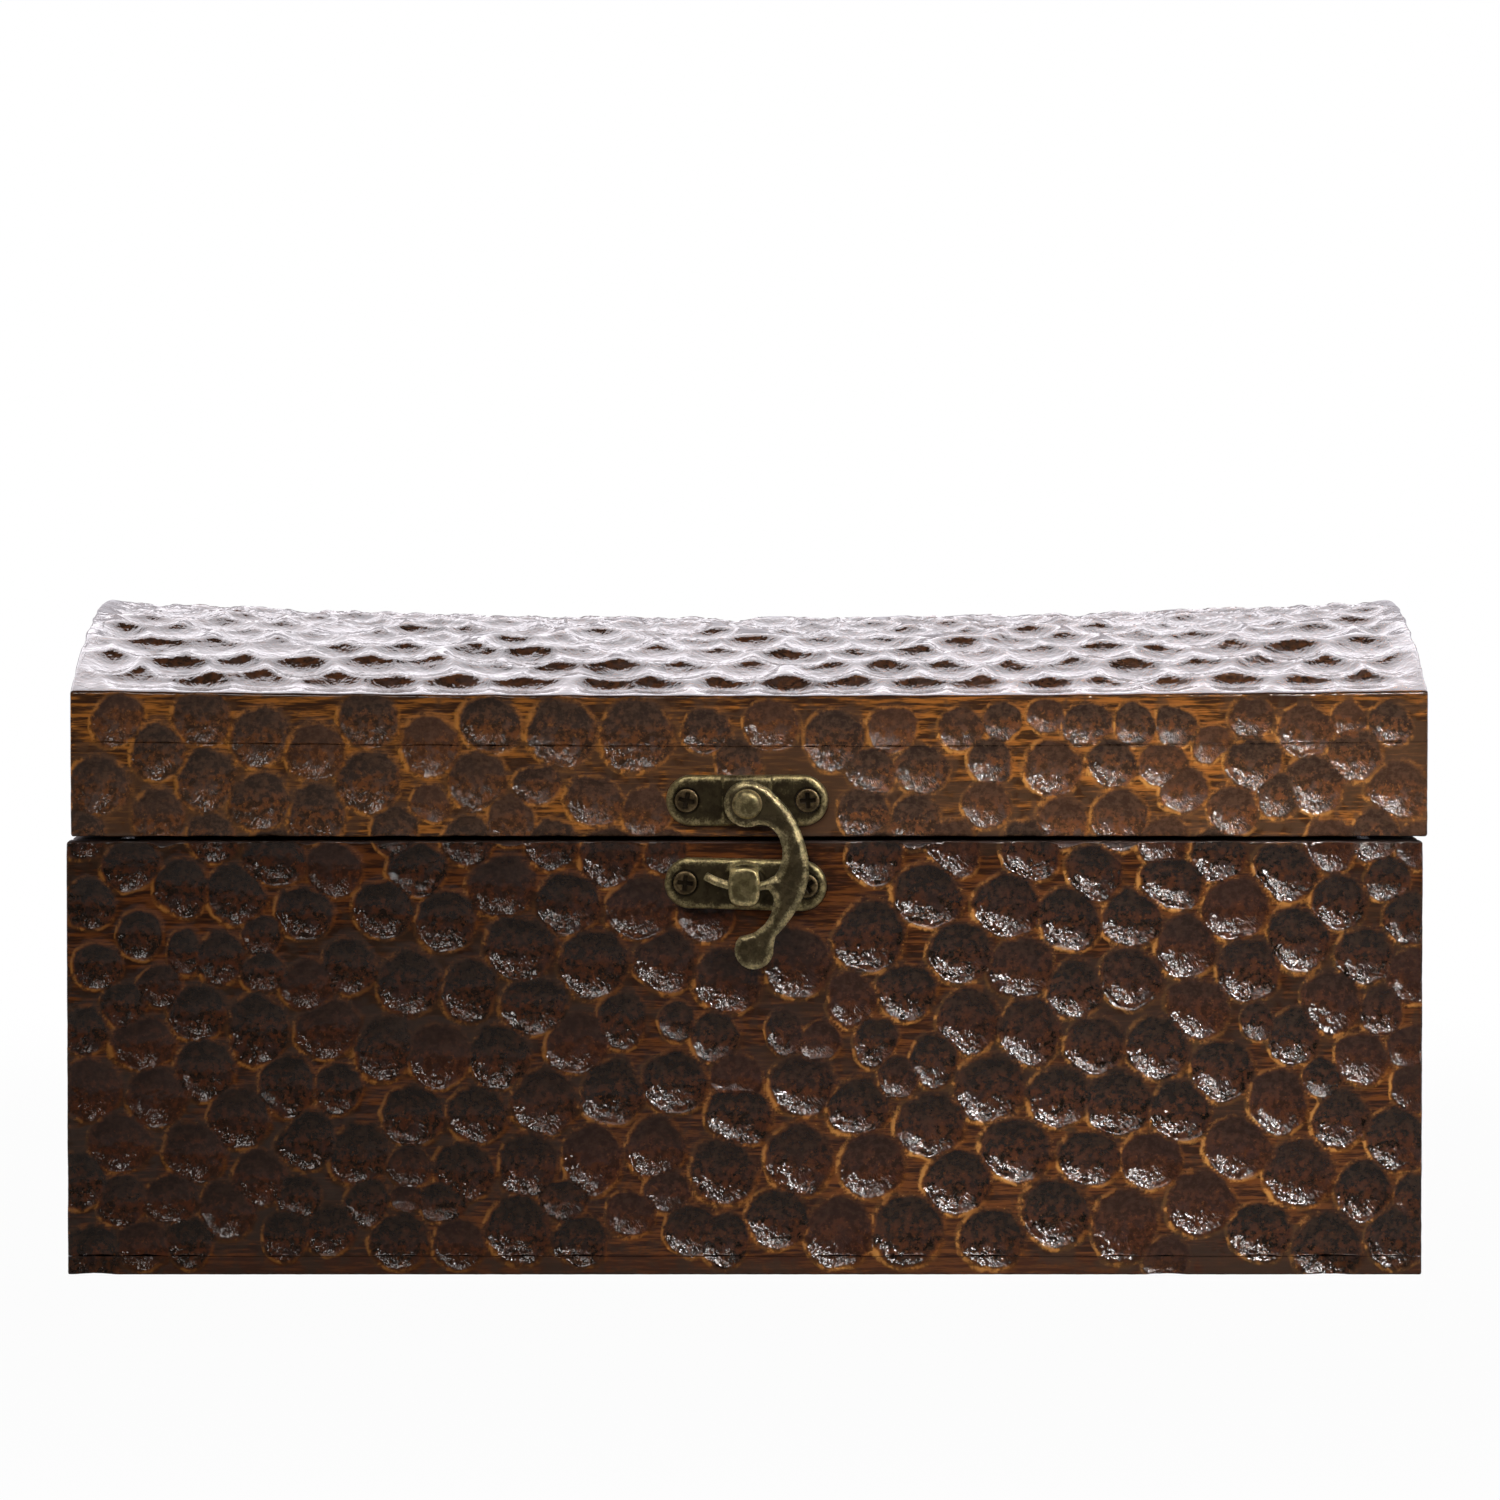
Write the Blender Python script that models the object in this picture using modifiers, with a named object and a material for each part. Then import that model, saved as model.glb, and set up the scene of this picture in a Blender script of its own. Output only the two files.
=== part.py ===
"""A wooden box with an arched lid, two surface hinges and a swing-hook latch.

Metres, +Z up. The origin is the centre of the underside, +X is to the right seen from the front,
and the front face looks along -Y. The lid turns about the empty lid_hinge_axis, and the hook about
the empty hook_pivot.
"""

import math
import random

import bmesh
import bpy
from mathutils import Matrix, Vector, geometry

# Body of the box
BOX_WIDTH = 0.280
BOX_DEPTH = 0.178
BODY_HEIGHT = 0.090
WALL_THICKNESS = 0.010
BOTTOM_THICKNESS = 0.004
EDGE_ROUNDING = 0.0012
GLUE_GAP = 0.0003

# Lid: its top is an arch from front to back that sags a little between the ends
SEAM_GAP = 0.0008
LID_CORNER_HEIGHT = 0.0301
LID_RISE = 0.0171
LID_PANEL_THICKNESS = 0.0104
LID_CROWN_SAG = 0.0037
LID_EDGE_SAG = 0.0010
LID_SHIFT = 0.0009

# Carving: gouge cuts side by side all over the body and the lid's upper face
CUT_PITCH = 0.0134
CUT_ROW = 0.0117
CUT_RADIUS = 0.0061
CUT_DEPTH = 0.0017
CUT_MARGIN = 0.0028
CUT_SPREAD = 0.0015
CUT_CORNERS = 5
CUT_MERGE = 0.0024
BACK_SEED = 7
LEFT_SEED = 8
RIGHT_SEED = 9
LID_SEED = 10
TENTH = 0.0001

# Wood screws, all alike
SCREW_HEAD_RADIUS = 0.0024
SCREW_HEAD_DEPTH = 0.0013
SCREW_HEAD_DOME = 0.0002
SCREW_SHANK_RADIUS = 0.0010
SCREW_LENGTH = 0.0085
SCREW_TIP = 0.0022
SCREW_CROSS_SPAN = 0.0026
SCREW_CROSS_WIDTH = 0.0007
SCREW_CROSS_DEPTH = 0.0008
SCREW_CLEARANCE = 0.00015

# Hinges on the back
HINGE_INSET = 0.055
HINGE_LENGTH = 0.032
LEAF_THICKNESS = 0.0012
LEAF_HEIGHT = 0.0155
KNUCKLE_RADIUS = 0.0023
KNUCKLE_GAP = 0.0003
HINGE_PIN_RADIUS = 0.0010
HINGE_PIN_HEAD_RADIUS = 0.0016
HINGE_PIN_HEAD_HEIGHT = 0.0007
RUNNING_CLEARANCE = 0.0001
HINGE_SCREW_SPACING = 0.021
HINGE_SCREW_DROP = 0.0098

# Latch plates on the front
LATCH_OFFSET = 0.0005
PLATE_LENGTH = 0.0334
PLATE_HEIGHT = 0.0105
PLATE_THICKNESS = 0.0013
PLATE_ROUNDING = 0.0005
PLATE_SCREW_SPACING = 0.025
BRIDGE_WIDTH = 0.0104
BRIDGE_RISE = 0.0006
HOOK_PLATE_HEIGHT_UP = 0.0076

# Swing hook, hung on a rivet through the upper plate
PIVOT_DROP_BELOW_PLATE = 0.0006
HOOK_THICKNESS = 0.0018
HOOK_ROUNDING = 0.0005
HOOK_CLEARANCE = 0.0003
EYE_RADIUS = 0.0047
RIVET_SHAFT_RADIUS = 0.0016
RIVET_HEAD_RADIUS = 0.0031
RIVET_HEAD_HEIGHT = 0.0014
HOOK_REACH = 0.0121
HOOK_DROP = 0.0340
TAB_RADIUS = 0.0039
TAB_OFFSET = 0.0014
TINE_THICKNESS = 0.0015
TINE_TIP_ANGLE = math.radians(-120)
TINE_TOP_ROOT_ANGLE = math.radians(-68)
TINE_FOOT_ROOT_ANGLE = math.radians(-75)

# Keeper, with the post that the hook's tine passes under
KEEPER_DROP = 0.0167
KEEPER_OFFSET = 0.0003
KEEPER_TILT = math.radians(1.4)
POST_OFFSET = 0.0006
POST_STEM_WIDTH = 0.0060
POST_STEM_HEIGHT = 0.0026
POST_STEM_FOOT = 0.0157
POST_HEAD_WIDTH = 0.0065
POST_HEAD_HEIGHT = 0.0080
POST_HEAD_THICKNESS = 0.0014
POST_HEAD_CORNER = 0.0019
POST_HEAD_DROP = 0.0170
POST_HEAD_ROUNDING = 0.0003

# Modelling
CUT_OVERRUN = 0.004
MERGE_DISTANCE = 0.00001
SHARP_ANGLE = math.radians(40)
BEVEL_SEGMENTS = 2
BOARD_EDGES = "bevel_weight_edge"
ROUND_STEPS = 16

# Edges of the hook's arm, as shares of its reach and its drop, from the eye down and back
ARM_OUTER_SHARES = (
    (0.338, 0.097), (0.675, -0.023), (0.884, -0.162), (1.000, -0.329),
    (0.988, -0.468), (0.857, -0.607), (0.623, -0.737), (0.467, -0.800),
)
ARM_FOOT_SHARES = ((0.110, -0.786), (0.300, -0.735), (0.430, -0.670), (0.494, -0.590), (0.470, -0.545))
ARM_INNER_SHARES = ((0.585, -0.403), (0.636, -0.329), (0.623, -0.255), (0.519, -0.171), (0.338, -0.124))

# Cuts of the body's front, read from the photo: across, up and radius, in tenths of a millimetre
FRONT_CUTS = (
    (-1266, 850, 60), (-970, 866, 66), (-846, 839, 60), (-675, 841, 61), (-280, 867, 65), (-164, 877, 47),
    (269, 865, 61), (588, 878, 63), (722, 834, 60), (977, 870, 58), (1115, 834, 65), (-1350, 770, 54),
    (-1249, 706, 51), (-1160, 803, 62), (-1049, 786, 64), (-909, 750, 60), (-748, 758, 63), (-618, 735, 66),
    (-501, 804, 71), (-364, 771, 69), (-215, 760, 71), (-80, 755, 66), (376, 785, 73), (540, 764, 71),
    (671, 737, 67), (797, 739, 65), (883, 814, 62), (1013, 759, 70), (1226, 774, 61), (1327, 822, 50),
    (-1338, 640, 54), (-1158, 668, 44), (-1210, 600, 48), (-1083, 659, 57), (-996, 701, 43),
    (-993, 628, 45), (-818, 640, 60), (-695, 605, 70), (-465, 678, 73), (-312, 646, 74), (-162, 650, 67),
    (-35, 610, 71), (108, 648, 74), (257, 701, 77), (447, 667, 69), (571, 638, 68), (797, 615, 67),
    (911, 683, 67), (1040, 633, 68), (1143, 697, 68), (1279, 662, 62), (-1367, 505, 52), (-1283, 560, 48),
    (-1130, 545, 63), (-1004, 507, 72), (-904, 603, 56), (-859, 511, 68), (-570, 590, 64), (-433, 558, 68),
    (-255, 528, 58), (-140, 529, 44), (83, 503, 46), (219, 571, 55), (333, 587, 63), (465, 529, 68),
    (589, 506, 70), (681, 591, 62), (935, 554, 67), (1057, 525, 39), (1211, 567, 65), (1314, 548, 50),
    (-1354, 386, 68), (-1243, 480, 63), (-1114, 426, 66), (-943, 393, 64), (-839, 386, 54), (-744, 470, 68),
    (-630, 454, 68), (-508, 453, 68), (-346, 480, 66), (-146, 401, 70), (-62, 492, 53), (-18, 408, 55),
    (119, 392, 68), (157, 487, 44), (268, 485, 50), (316, 413, 45), (391, 444, 54), (507, 390, 75),
    (724, 477, 64), (851, 470, 69), (987, 427, 67), (1133, 493, 58), (1193, 411, 44), (1275, 450, 59),
    (-1216, 370, 65), (-1043, 325, 66), (-903, 280, 62), (-686, 331, 67), (-553, 332, 64), (-414, 359, 70),
    (-275, 379, 69), (-184, 266, 66), (-12, 333, 69), (234, 350, 65), (384, 311, 73), (648, 371, 67),
    (774, 357, 72), (901, 340, 65), (1103, 361, 65), (1231, 325, 63), (1350, 282, 68), (-1290, 275, 66),
    (-1137, 255, 66), (-1002, 203, 60), (-797, 250, 66), (-691, 225, 47), (-579, 218, 64), (-446, 226, 66),
    (-314, 240, 70), (-162, 175, 49), (-44, 213, 71), (112, 243, 74), (263, 228, 71), (437, 195, 72),
    (561, 261, 75), (712, 242, 65), (840, 238, 63), (1015, 265, 70), (1147, 212, 76), (1282, 177, 64),
    (-1287, 155, 57), (-1186, 159, 57), (-1149, 68, 52), (-1073, 135, 62), (-948, 80, 52), (-923, 164, 49),
    (-855, 92, 54), (-780, 152, 51), (-713, 69, 63), (-698, 158, 31), (-626, 151, 48), (-467, 96, 72),
    (-374, 157, 50), (-339, 71, 59), (-237, 127, 52), (-112, 94, 58), (-40, 75, 57), (68, 118, 66),
    (195, 91, 75), (336, 94, 79), (509, 78, 69), (643, 130, 75), (786, 104, 76), (942, 151, 72),
    (1066, 92, 66), (1348, 76, 65),
)

STAINED_WOOD = (0.085, 0.034, 0.015)
ANTIQUE_BRASS = (0.110, 0.085, 0.040)
WORN_BRASS = (0.260, 0.200, 0.090)


def remove_everything():
    for existing in list(bpy.data.objects):
        bpy.data.objects.remove(existing, do_unlink=True)


def collection_named(name):
    found = bpy.data.collections.new(name)
    bpy.context.scene.collection.children.link(found)
    return found


def finish_for(name, colour, roughness, metallic):
    """One Principled material for one part."""
    finish = bpy.data.materials.new(name)
    finish.use_nodes = True
    shader = finish.node_tree.nodes["Principled BSDF"]
    shader.inputs["Base Color"].default_value = (*colour, 1)
    shader.inputs["Roughness"].default_value = roughness
    shader.inputs["Metallic"].default_value = metallic
    return finish


def add_object(name, mesh, home, place=None):
    item = bpy.data.objects.new(name, mesh)
    home.objects.link(item)
    item.matrix_world = place if place else Matrix.Identity(4)
    if home is cutters:
        item.hide_render = True
        item.display_type = "WIRE"
    return item


def add_axis(name, place):
    """An empty on a joint's axis, which the moving pieces hang from."""
    axis = bpy.data.objects.new(name, None)
    parts.objects.link(axis)
    axis.matrix_world = place
    return axis


def hang_on(item, axis):
    item.parent = axis
    item.matrix_parent_inverse = axis.matrix_world.inverted()


def facing(x_axis, y_axis, origin):
    """The placing that turns a flat outline's X and Y into these two directions."""
    right, up = Vector(x_axis), Vector(y_axis)
    turn = Matrix((right, up, right.cross(up))).transposed().to_4x4()
    return Matrix.Translation(Vector(origin)) @ turn


def out_of_front(x, proud, z, tilt=0.0):
    """On the front face: local X to the right, Y up, and Z out of the wood by proud."""
    placed = facing((1, 0, 0), (0, 0, 1), (x, -BOX_DEPTH / 2 - proud, z))
    return placed @ Matrix.Rotation(-tilt, 4, "Z")


def out_of_back(x, proud, z):
    """On the back face: local Z out of the wood."""
    return facing((-1, 0, 0), (0, 0, 1), (x, BOX_DEPTH / 2 + proud, z))


def mesh_from(shape, name):
    mesh = bpy.data.meshes.new(name)
    shape.to_mesh(mesh)
    shape.free()
    return mesh


def block_mesh(name, size):
    """A block of this size about its own centre."""
    shape = bmesh.new()
    bmesh.ops.create_cube(shape, size=1)
    bmesh.ops.scale(shape, vec=Vector(size), verts=shape.verts)
    return mesh_from(shape, name)


def block_between(name, low, high, home):
    low, high = Vector(low), Vector(high)
    return add_object(name, block_mesh(name, high - low), home, Matrix.Translation((low + high) / 2))


def arched_block(name, x_span, y_span, cells, top_of, foot_of):
    """A block whose top and foot follow functions of x and y."""
    shape = bmesh.new()
    bmesh.ops.create_grid(shape, x_segments=cells[0], y_segments=cells[1], size=1)
    upper = list(shape.verts)
    grown = bmesh.ops.extrude_face_region(shape, geom=list(shape.faces))
    lower = [part for part in grown["geom"] if isinstance(part, bmesh.types.BMVert)]
    for row, height_of in ((upper, top_of), (lower, foot_of)):
        for corner in row:
            x = (x_span[0] + x_span[1] + corner.co.x * (x_span[1] - x_span[0])) / 2
            y = (y_span[0] + y_span[1] + corner.co.y * (y_span[1] - y_span[0])) / 2
            corner.co = (x, y, height_of(x, y))
    bmesh.ops.recalc_face_normals(shape, faces=shape.faces)
    return add_object(name, mesh_from(shape, name), parts)


def rows_of_cuts(seed, u_span, v_span):
    """Gouge cuts in uneven rows, as (across, up, radius)."""
    chance = random.Random(seed)
    cuts = []
    rows = max(1, round((v_span[1] - v_span[0]) / CUT_ROW))
    for row in range(rows):
        v = v_span[0] + (row + 0.5) * (v_span[1] - v_span[0]) / rows
        for column in range(round((u_span[1] - u_span[0]) / CUT_PITCH) + 1):
            u = u_span[0] + (column + 0.5 * (row % 2)) * CUT_PITCH
            cuts.append((u + chance.gauss(0, CUT_SPREAD), v + chance.gauss(0, CUT_SPREAD * 0.7),
                         CUT_RADIUS * chance.uniform(0.86, 1.12)))
    return cuts


def cut_points(cuts, low, high):
    """The corners that show the cuts on a face: each cut's bottom, its rim, and the ridges between two."""
    def depth_at(u, v):
        return max([CUT_DEPTH * (1 - ((u - cu) ** 2 + (v - cv) ** 2) / radius ** 2) for cu, cv, radius in cuts] + [0])

    inside = [cut for cut in cuts if low[0] < cut[0] < high[0] and low[1] < cut[1] < high[1]]
    wanted = [(u, v) for u, v, radius in inside]
    for index, (u, v, radius) in enumerate(inside):
        for other_u, other_v, other_radius in inside[:index]:
            if math.hypot(u - other_u, v - other_v) < (radius + other_radius) * 1.1:
                wanted.append(((u + other_u) / 2, (v + other_v) / 2))
    for u, v, radius in inside:
        for corner_u, corner_v in ring((u, v), radius, CUT_CORNERS):
            if depth_at(corner_u, corner_v) < CUT_DEPTH * 0.1:
                wanted.append((corner_u, corner_v))
    kept = []
    for u, v in wanted:
        clear = min(u - low[0], high[0] - u, v - low[1], high[1] - v) > CUT_MERGE
        if clear and all(math.hypot(u - ku, v - kv) > CUT_MERGE for ku, kv, depth in kept):
            kept.append((u, v, depth_at(u, v)))
    return kept


def carved_block(name, u_span, v_span, thickness, cells, cuts, place):
    """A board with cuts in its outer face. place turns (across, up, depth under that face) into a point."""
    us = [u_span[0] + (u_span[1] - u_span[0]) * step / cells[0] for step in range(cells[0] + 1)]
    vs = [v_span[0] + (v_span[1] - v_span[0]) * step / cells[1] for step in range(cells[1] + 1)]
    loop = ([(i, 0) for i in range(cells[0])] + [(cells[0], j) for j in range(cells[1])]
            + [(i, cells[1]) for i in range(cells[0], 0, -1)] + [(0, j) for j in range(cells[1], 0, -1)])
    low = (u_span[0] + CUT_MARGIN, v_span[0] + CUT_MARGIN)
    high = (u_span[1] - CUT_MARGIN, v_span[1] - CUT_MARGIN)
    border = [(min(max(us[i], low[0]), high[0]), min(max(vs[j], low[1]), high[1])) for i, j in loop]
    field = cut_points(cuts, low, high)
    flat = [Vector(spot) for spot in border] + [Vector((u, v)) for u, v, depth in field]
    around = [(index, (index + 1) % len(loop)) for index in range(len(loop))]
    spots, edges, triangles = geometry.delaunay_2d_cdt(flat, around, [], 1, MERGE_DISTANCE / 10)[:3]
    depths = [0.0] * len(border) + [depth for u, v, depth in field]
    shape = bmesh.new()
    upper = [shape.verts.new(place(us[i], vs[j], 0)) for i, j in loop]
    carved = [shape.verts.new(place(spot.x, spot.y, depth)) for spot, depth in zip(spots, depths)]
    lower = {(i, j): shape.verts.new(place(us[i], vs[j], thickness))
             for i in range(cells[0] + 1) for j in range(cells[1] + 1)}
    for index, (here, following) in enumerate(around):
        shape.faces.new((upper[here], upper[following], carved[following], carved[here]))
        shape.faces.new((upper[here], lower[loop[here]], lower[loop[following]], upper[following]))
    for triangle in triangles:
        shape.faces.new([carved[index] for index in triangle])
    for i in range(cells[0]):
        for j in range(cells[1]):
            shape.faces.new((lower[i, j], lower[i, j + 1], lower[i + 1, j + 1], lower[i + 1, j]))
    weight = shape.edges.layers.float.new(BOARD_EDGES)
    rims = [(upper[here], upper[following]) for here, following in around]
    rims += [(lower[loop[here]], lower[loop[following]]) for here, following in around]
    rims += [(upper[index], lower[spot]) for index, spot in enumerate(loop)
             if spot[0] in (0, cells[0]) and spot[1] in (0, cells[1])]
    for start, end in rims:
        shape.edges.get((start, end))[weight] = 1
    bmesh.ops.recalc_face_normals(shape, faces=shape.faces)
    return add_object(name, mesh_from(shape, name), parts)


def outline_mesh(name, outlines, thickness, rounding=0.0):
    """A flat piece with this outline, holes where further outlines are given, and rounded edges."""
    curve = bpy.data.curves.new(name, "CURVE")
    curve.dimensions = "2D"
    curve.fill_mode = "BOTH"
    curve.extrude = thickness / 2 - rounding
    curve.bevel_depth = rounding
    curve.bevel_resolution = 1
    curve.offset = -rounding
    for points in outlines:
        spline = curve.splines.new("POLY")
        spline.points.add(len(points) - 1)
        spline.use_cyclic_u = True
        for point, (x, y) in zip(spline.points, points):
            point.co = (x, y, 0, 1)
    drawn = bpy.data.objects.new(name, curve)
    cutters.objects.link(drawn)
    bpy.context.view_layer.update()
    mesh = bpy.data.meshes.new_from_object(drawn.evaluated_get(bpy.context.evaluated_depsgraph_get()))
    bpy.data.objects.remove(drawn)
    welded = bmesh.new()
    welded.from_mesh(mesh)
    bmesh.ops.remove_doubles(welded, verts=welded.verts, dist=MERGE_DISTANCE)
    welded.to_mesh(mesh)
    welded.free()
    mesh.name = name
    return mesh


def turned(name, profile, home, place, steps=ROUND_STEPS):
    """A profile of (radius, height) points, top to bottom, turned about local Z."""
    mesh = bpy.data.meshes.new(name)
    mesh.from_pydata([(radius, 0, height) for radius, height in profile],
                     [(index, index + 1) for index in range(len(profile) - 1)], [])
    item = add_object(name, mesh, home, place)
    spin = item.modifiers.new("turn", "SCREW")
    spin.steps = steps
    spin.render_steps = steps
    spin.use_merge_vertices = True
    spin.merge_threshold = MERGE_DISTANCE
    spin.use_smooth_shade = True
    return item


def arc(centre, radius, start, end, steps):
    """Points along an arc, both ends included, with angles in radians."""
    return [(centre[0] + radius * math.cos(start + (end - start) * step / steps),
             centre[1] + radius * math.sin(start + (end - start) * step / steps))
            for step in range(steps + 1)]


def ring(centre, radius, steps=ROUND_STEPS):
    return arc(centre, radius, 0, math.tau, steps)[:-1]


def stadium(length, height, steps):
    """A bar with round ends, about its own centre."""
    end = (length - height) / 2
    return (arc((end, 0), height / 2, -math.pi / 2, math.pi / 2, steps)
            + arc((-end, 0), height / 2, math.pi / 2, math.pi * 3 / 2, steps))


def rounded_rectangle(width, height, corner, steps):
    right, up = width / 2 - corner, height / 2 - corner
    points = []
    for index, centre in enumerate(((right, up), (-right, up), (-right, -up), (right, -up))):
        points += arc(centre, corner, math.pi / 2 * index, math.pi / 2 * (index + 1), steps)
    return points


def round_edges(item, width):
    bevel = item.modifiers.new("rounded edges", "BEVEL")
    bevel.width = width
    bevel.segments = BEVEL_SEGMENTS
    bevel.limit_method = "WEIGHT" if BOARD_EDGES in item.data.attributes else "ANGLE"
    bevel.angle_limit = SHARP_ANGLE


def combine(item, other, operation):
    step = item.modifiers.new(operation.lower(), "BOOLEAN")
    step.operation = operation
    step.object = other


def shade_round(item):
    item.data.shade_smooth()
    item.data.set_sharp_from_angle(angle=SHARP_ANGLE)


# Heights and places that the named sizes give
lid_foot = BODY_HEIGHT + SEAM_GAP
seam_middle = BODY_HEIGHT + SEAM_GAP / 2
corner_top = lid_foot + LID_CORNER_HEIGHT
half_depth = BOX_DEPTH / 2
arch_radius = (half_depth ** 2 + LID_RISE ** 2) / (2 * LID_RISE)
leaf_seat = GLUE_GAP
hinge_axis_y = half_depth + leaf_seat + KNUCKLE_RADIUS
plate_face = GLUE_GAP + PLATE_THICKNESS
bridge_face = plate_face + BRIDGE_RISE
hook_back = bridge_face + HOOK_CLEARANCE
hook_face = hook_back + HOOK_THICKNESS
head_back = hook_face + HOOK_CLEARANCE
hook_plate_z = lid_foot + HOOK_PLATE_HEIGHT_UP
pivot_z = hook_plate_z - PIVOT_DROP_BELOW_PLATE
keeper_x = LATCH_OFFSET - KEEPER_OFFSET
keeper_z = pivot_z - KEEPER_DROP
post_x = LATCH_OFFSET - POST_OFFSET
tine_inner_radius = math.hypot(POST_OFFSET + POST_STEM_WIDTH / 2, POST_STEM_FOOT) + HOOK_CLEARANCE
tine_outer_radius = tine_inner_radius + TINE_THICKNESS


def lid_top(x, y):
    """Height of the lid's upper face: an arc from front to back, lowered between the ends."""
    over_crown = math.sqrt(arch_radius ** 2 - y ** 2) - (arch_radius - LID_RISE)
    between_ends = 1 - (2 * (x - LID_SHIFT) / BOX_WIDTH) ** 2
    sag = LID_EDGE_SAG + (LID_CROWN_SAG - LID_EDGE_SAG) * over_crown / LID_RISE
    return corner_top + over_crown - sag * between_ends


def panel_foot(x, y):
    return lid_top(x, y) - LID_PANEL_THICKNESS


def frame_top(x, y):
    return panel_foot(x, y) - GLUE_GAP


def frame_foot(x, y):
    return lid_foot


def make_body():
    """Four carved walls, two of them full width, standing on a bottom panel."""
    inner_y = half_depth - WALL_THICKNESS
    foot = BOTTOM_THICKNESS + GLUE_GAP
    across, up = (-BOX_WIDTH / 2, BOX_WIDTH / 2), (foot, BODY_HEIGHT)
    front_cuts = [(u * TENTH, v * TENTH, radius * TENTH) for u, v, radius in FRONT_CUTS]
    boards = [
        carved_block("front_board", across, up, WALL_THICKNESS, (1, 1), front_cuts,
                     lambda u, v, depth: (u, depth - half_depth, v)),
        carved_block("back_board", across, up, WALL_THICKNESS, (1, 1), rows_of_cuts(BACK_SEED, across, up),
                     lambda u, v, depth: (u, half_depth - depth, v)),
        block_between("bottom_panel", (-BOX_WIDTH / 2, -half_depth, 0),
                      (BOX_WIDTH / 2, half_depth, BOTTOM_THICKNESS), parts),
    ]
    along = (GLUE_GAP - inner_y, inner_y - GLUE_GAP)
    for name, side, seed in (("left_side_board", -1, LEFT_SEED), ("right_side_board", 1, RIGHT_SEED)):
        boards.append(carved_block(name, along, up, WALL_THICKNESS, (1, 1), rows_of_cuts(seed, along, up),
                                   lambda u, v, depth: (side * (BOX_WIDTH / 2 - depth), u, v)))
    for board in boards:
        round_edges(board, EDGE_ROUNDING)
        board.data.materials.append(finish_for(board.name, STAINED_WOOD, 0.3, 0))
    return {board.name: board for board in boards}


def make_lid():
    """A frame of two rails and two arched ends under one arched panel."""
    left, right = LID_SHIFT - BOX_WIDTH / 2, LID_SHIFT + BOX_WIDTH / 2
    inner_y = half_depth - WALL_THICKNESS
    pieces = [
        carved_block("lid_top_panel", (left, right), (-half_depth, half_depth), LID_PANEL_THICKNESS, (10, 20),
                     rows_of_cuts(LID_SEED, (left, right), (-half_depth, half_depth)),
                     lambda u, v, depth: (u, v, lid_top(u, v) - depth)),
        arched_block("lid_front_rail", (left, right), (-half_depth, -inner_y), (10, 2), frame_top, frame_foot),
        arched_block("lid_back_rail", (left, right), (inner_y, half_depth), (10, 2), frame_top, frame_foot),
    ]
    end_depth = (GLUE_GAP - inner_y, inner_y - GLUE_GAP)
    for name, span in (("lid_left_end", (left, left + WALL_THICKNESS)),
                       ("lid_right_end", (right - WALL_THICKNESS, right))):
        pieces.append(arched_block(name, span, end_depth, (1, 16), frame_top, frame_foot))
    for piece in pieces:
        round_edges(piece, EDGE_ROUNDING)
        piece.data.materials.append(finish_for(piece.name, STAINED_WOOD, 0.3, 0))
        hang_on(piece, lid_hinge_axis)
    return {piece.name: piece for piece in pieces}


def screw_mesh():
    """A countersunk wood screw about local Z, with its head's rim at height zero."""
    neck = -SCREW_HEAD_DEPTH
    tip = neck - SCREW_LENGTH
    profile = [(0, SCREW_HEAD_DOME), (SCREW_HEAD_RADIUS, 0), (SCREW_SHANK_RADIUS, neck),
               (SCREW_SHANK_RADIUS, tip + SCREW_TIP), (0, tip)]
    blank = turned("screw_blank", profile, cutters, Matrix.Identity(4), steps=12)
    arm, half = SCREW_CROSS_SPAN / 2, SCREW_CROSS_WIDTH / 2
    corner = ((arm, half), (half, half), (half, arm))
    cross = []
    for quarter in range(4):
        turn = Matrix.Rotation(math.pi / 2 * quarter, 2)
        cross += [tuple(turn @ Vector(point)) for point in corner]
    recess = add_object("screw_recess", outline_mesh("screw_recess", [cross], SCREW_CROSS_DEPTH * 2), cutters,
                        Matrix.Translation((0, 0, SCREW_HEAD_DOME / 2)))
    combine(blank, recess, "DIFFERENCE")
    bpy.context.view_layer.update()
    made = blank.evaluated_get(bpy.context.evaluated_depsgraph_get())
    mesh = bpy.data.meshes.new_from_object(made)
    for helper in (blank, recess):
        bpy.data.objects.remove(helper)
    mesh.name = "wood_screw"
    mesh.shade_smooth()
    mesh.set_sharp_from_angle(angle=SHARP_ANGLE)
    return mesh


def drive_screw(name, place, through):
    """Sets one screw with its head's rim on place, and bores and countersinks what it goes through."""
    neck = -SCREW_HEAD_DEPTH
    head, shank = SCREW_HEAD_RADIUS + SCREW_CLEARANCE, SCREW_SHANK_RADIUS + SCREW_CLEARANCE
    end = neck - SCREW_LENGTH - SCREW_CLEARANCE
    bore = turned(name + "_bore", [(0, CUT_OVERRUN), (head, CUT_OVERRUN), (head, 0), (shank, neck),
                                   (shank, end), (0, end)], cutters, place, steps=12)
    for item in through:
        combine(item, bore, "DIFFERENCE")
    screw = add_object(name, wood_screw, parts, place)
    screw.data.materials.clear()
    screw.data.materials.append(screw_finish)
    return screw


def leaf_mesh(name):
    """A hinge leaf drawn in section: a plate that rolls into a knuckle with a bore."""
    meet = math.acos((LEAF_THICKNESS - KNUCKLE_RADIUS) / KNUCKLE_RADIUS)
    knuckle = arc((KNUCKLE_RADIUS, 0), KNUCKLE_RADIUS, math.pi, math.tau + meet, ROUND_STEPS)
    section = [(0, LEAF_HEIGHT)] + knuckle + [(LEAF_THICKNESS, LEAF_HEIGHT)]
    bore = ring((KNUCKLE_RADIUS, 0), HINGE_PIN_RADIUS + RUNNING_CLEARANCE, 12)
    return outline_mesh(name, [section, bore], HINGE_LENGTH)


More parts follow.
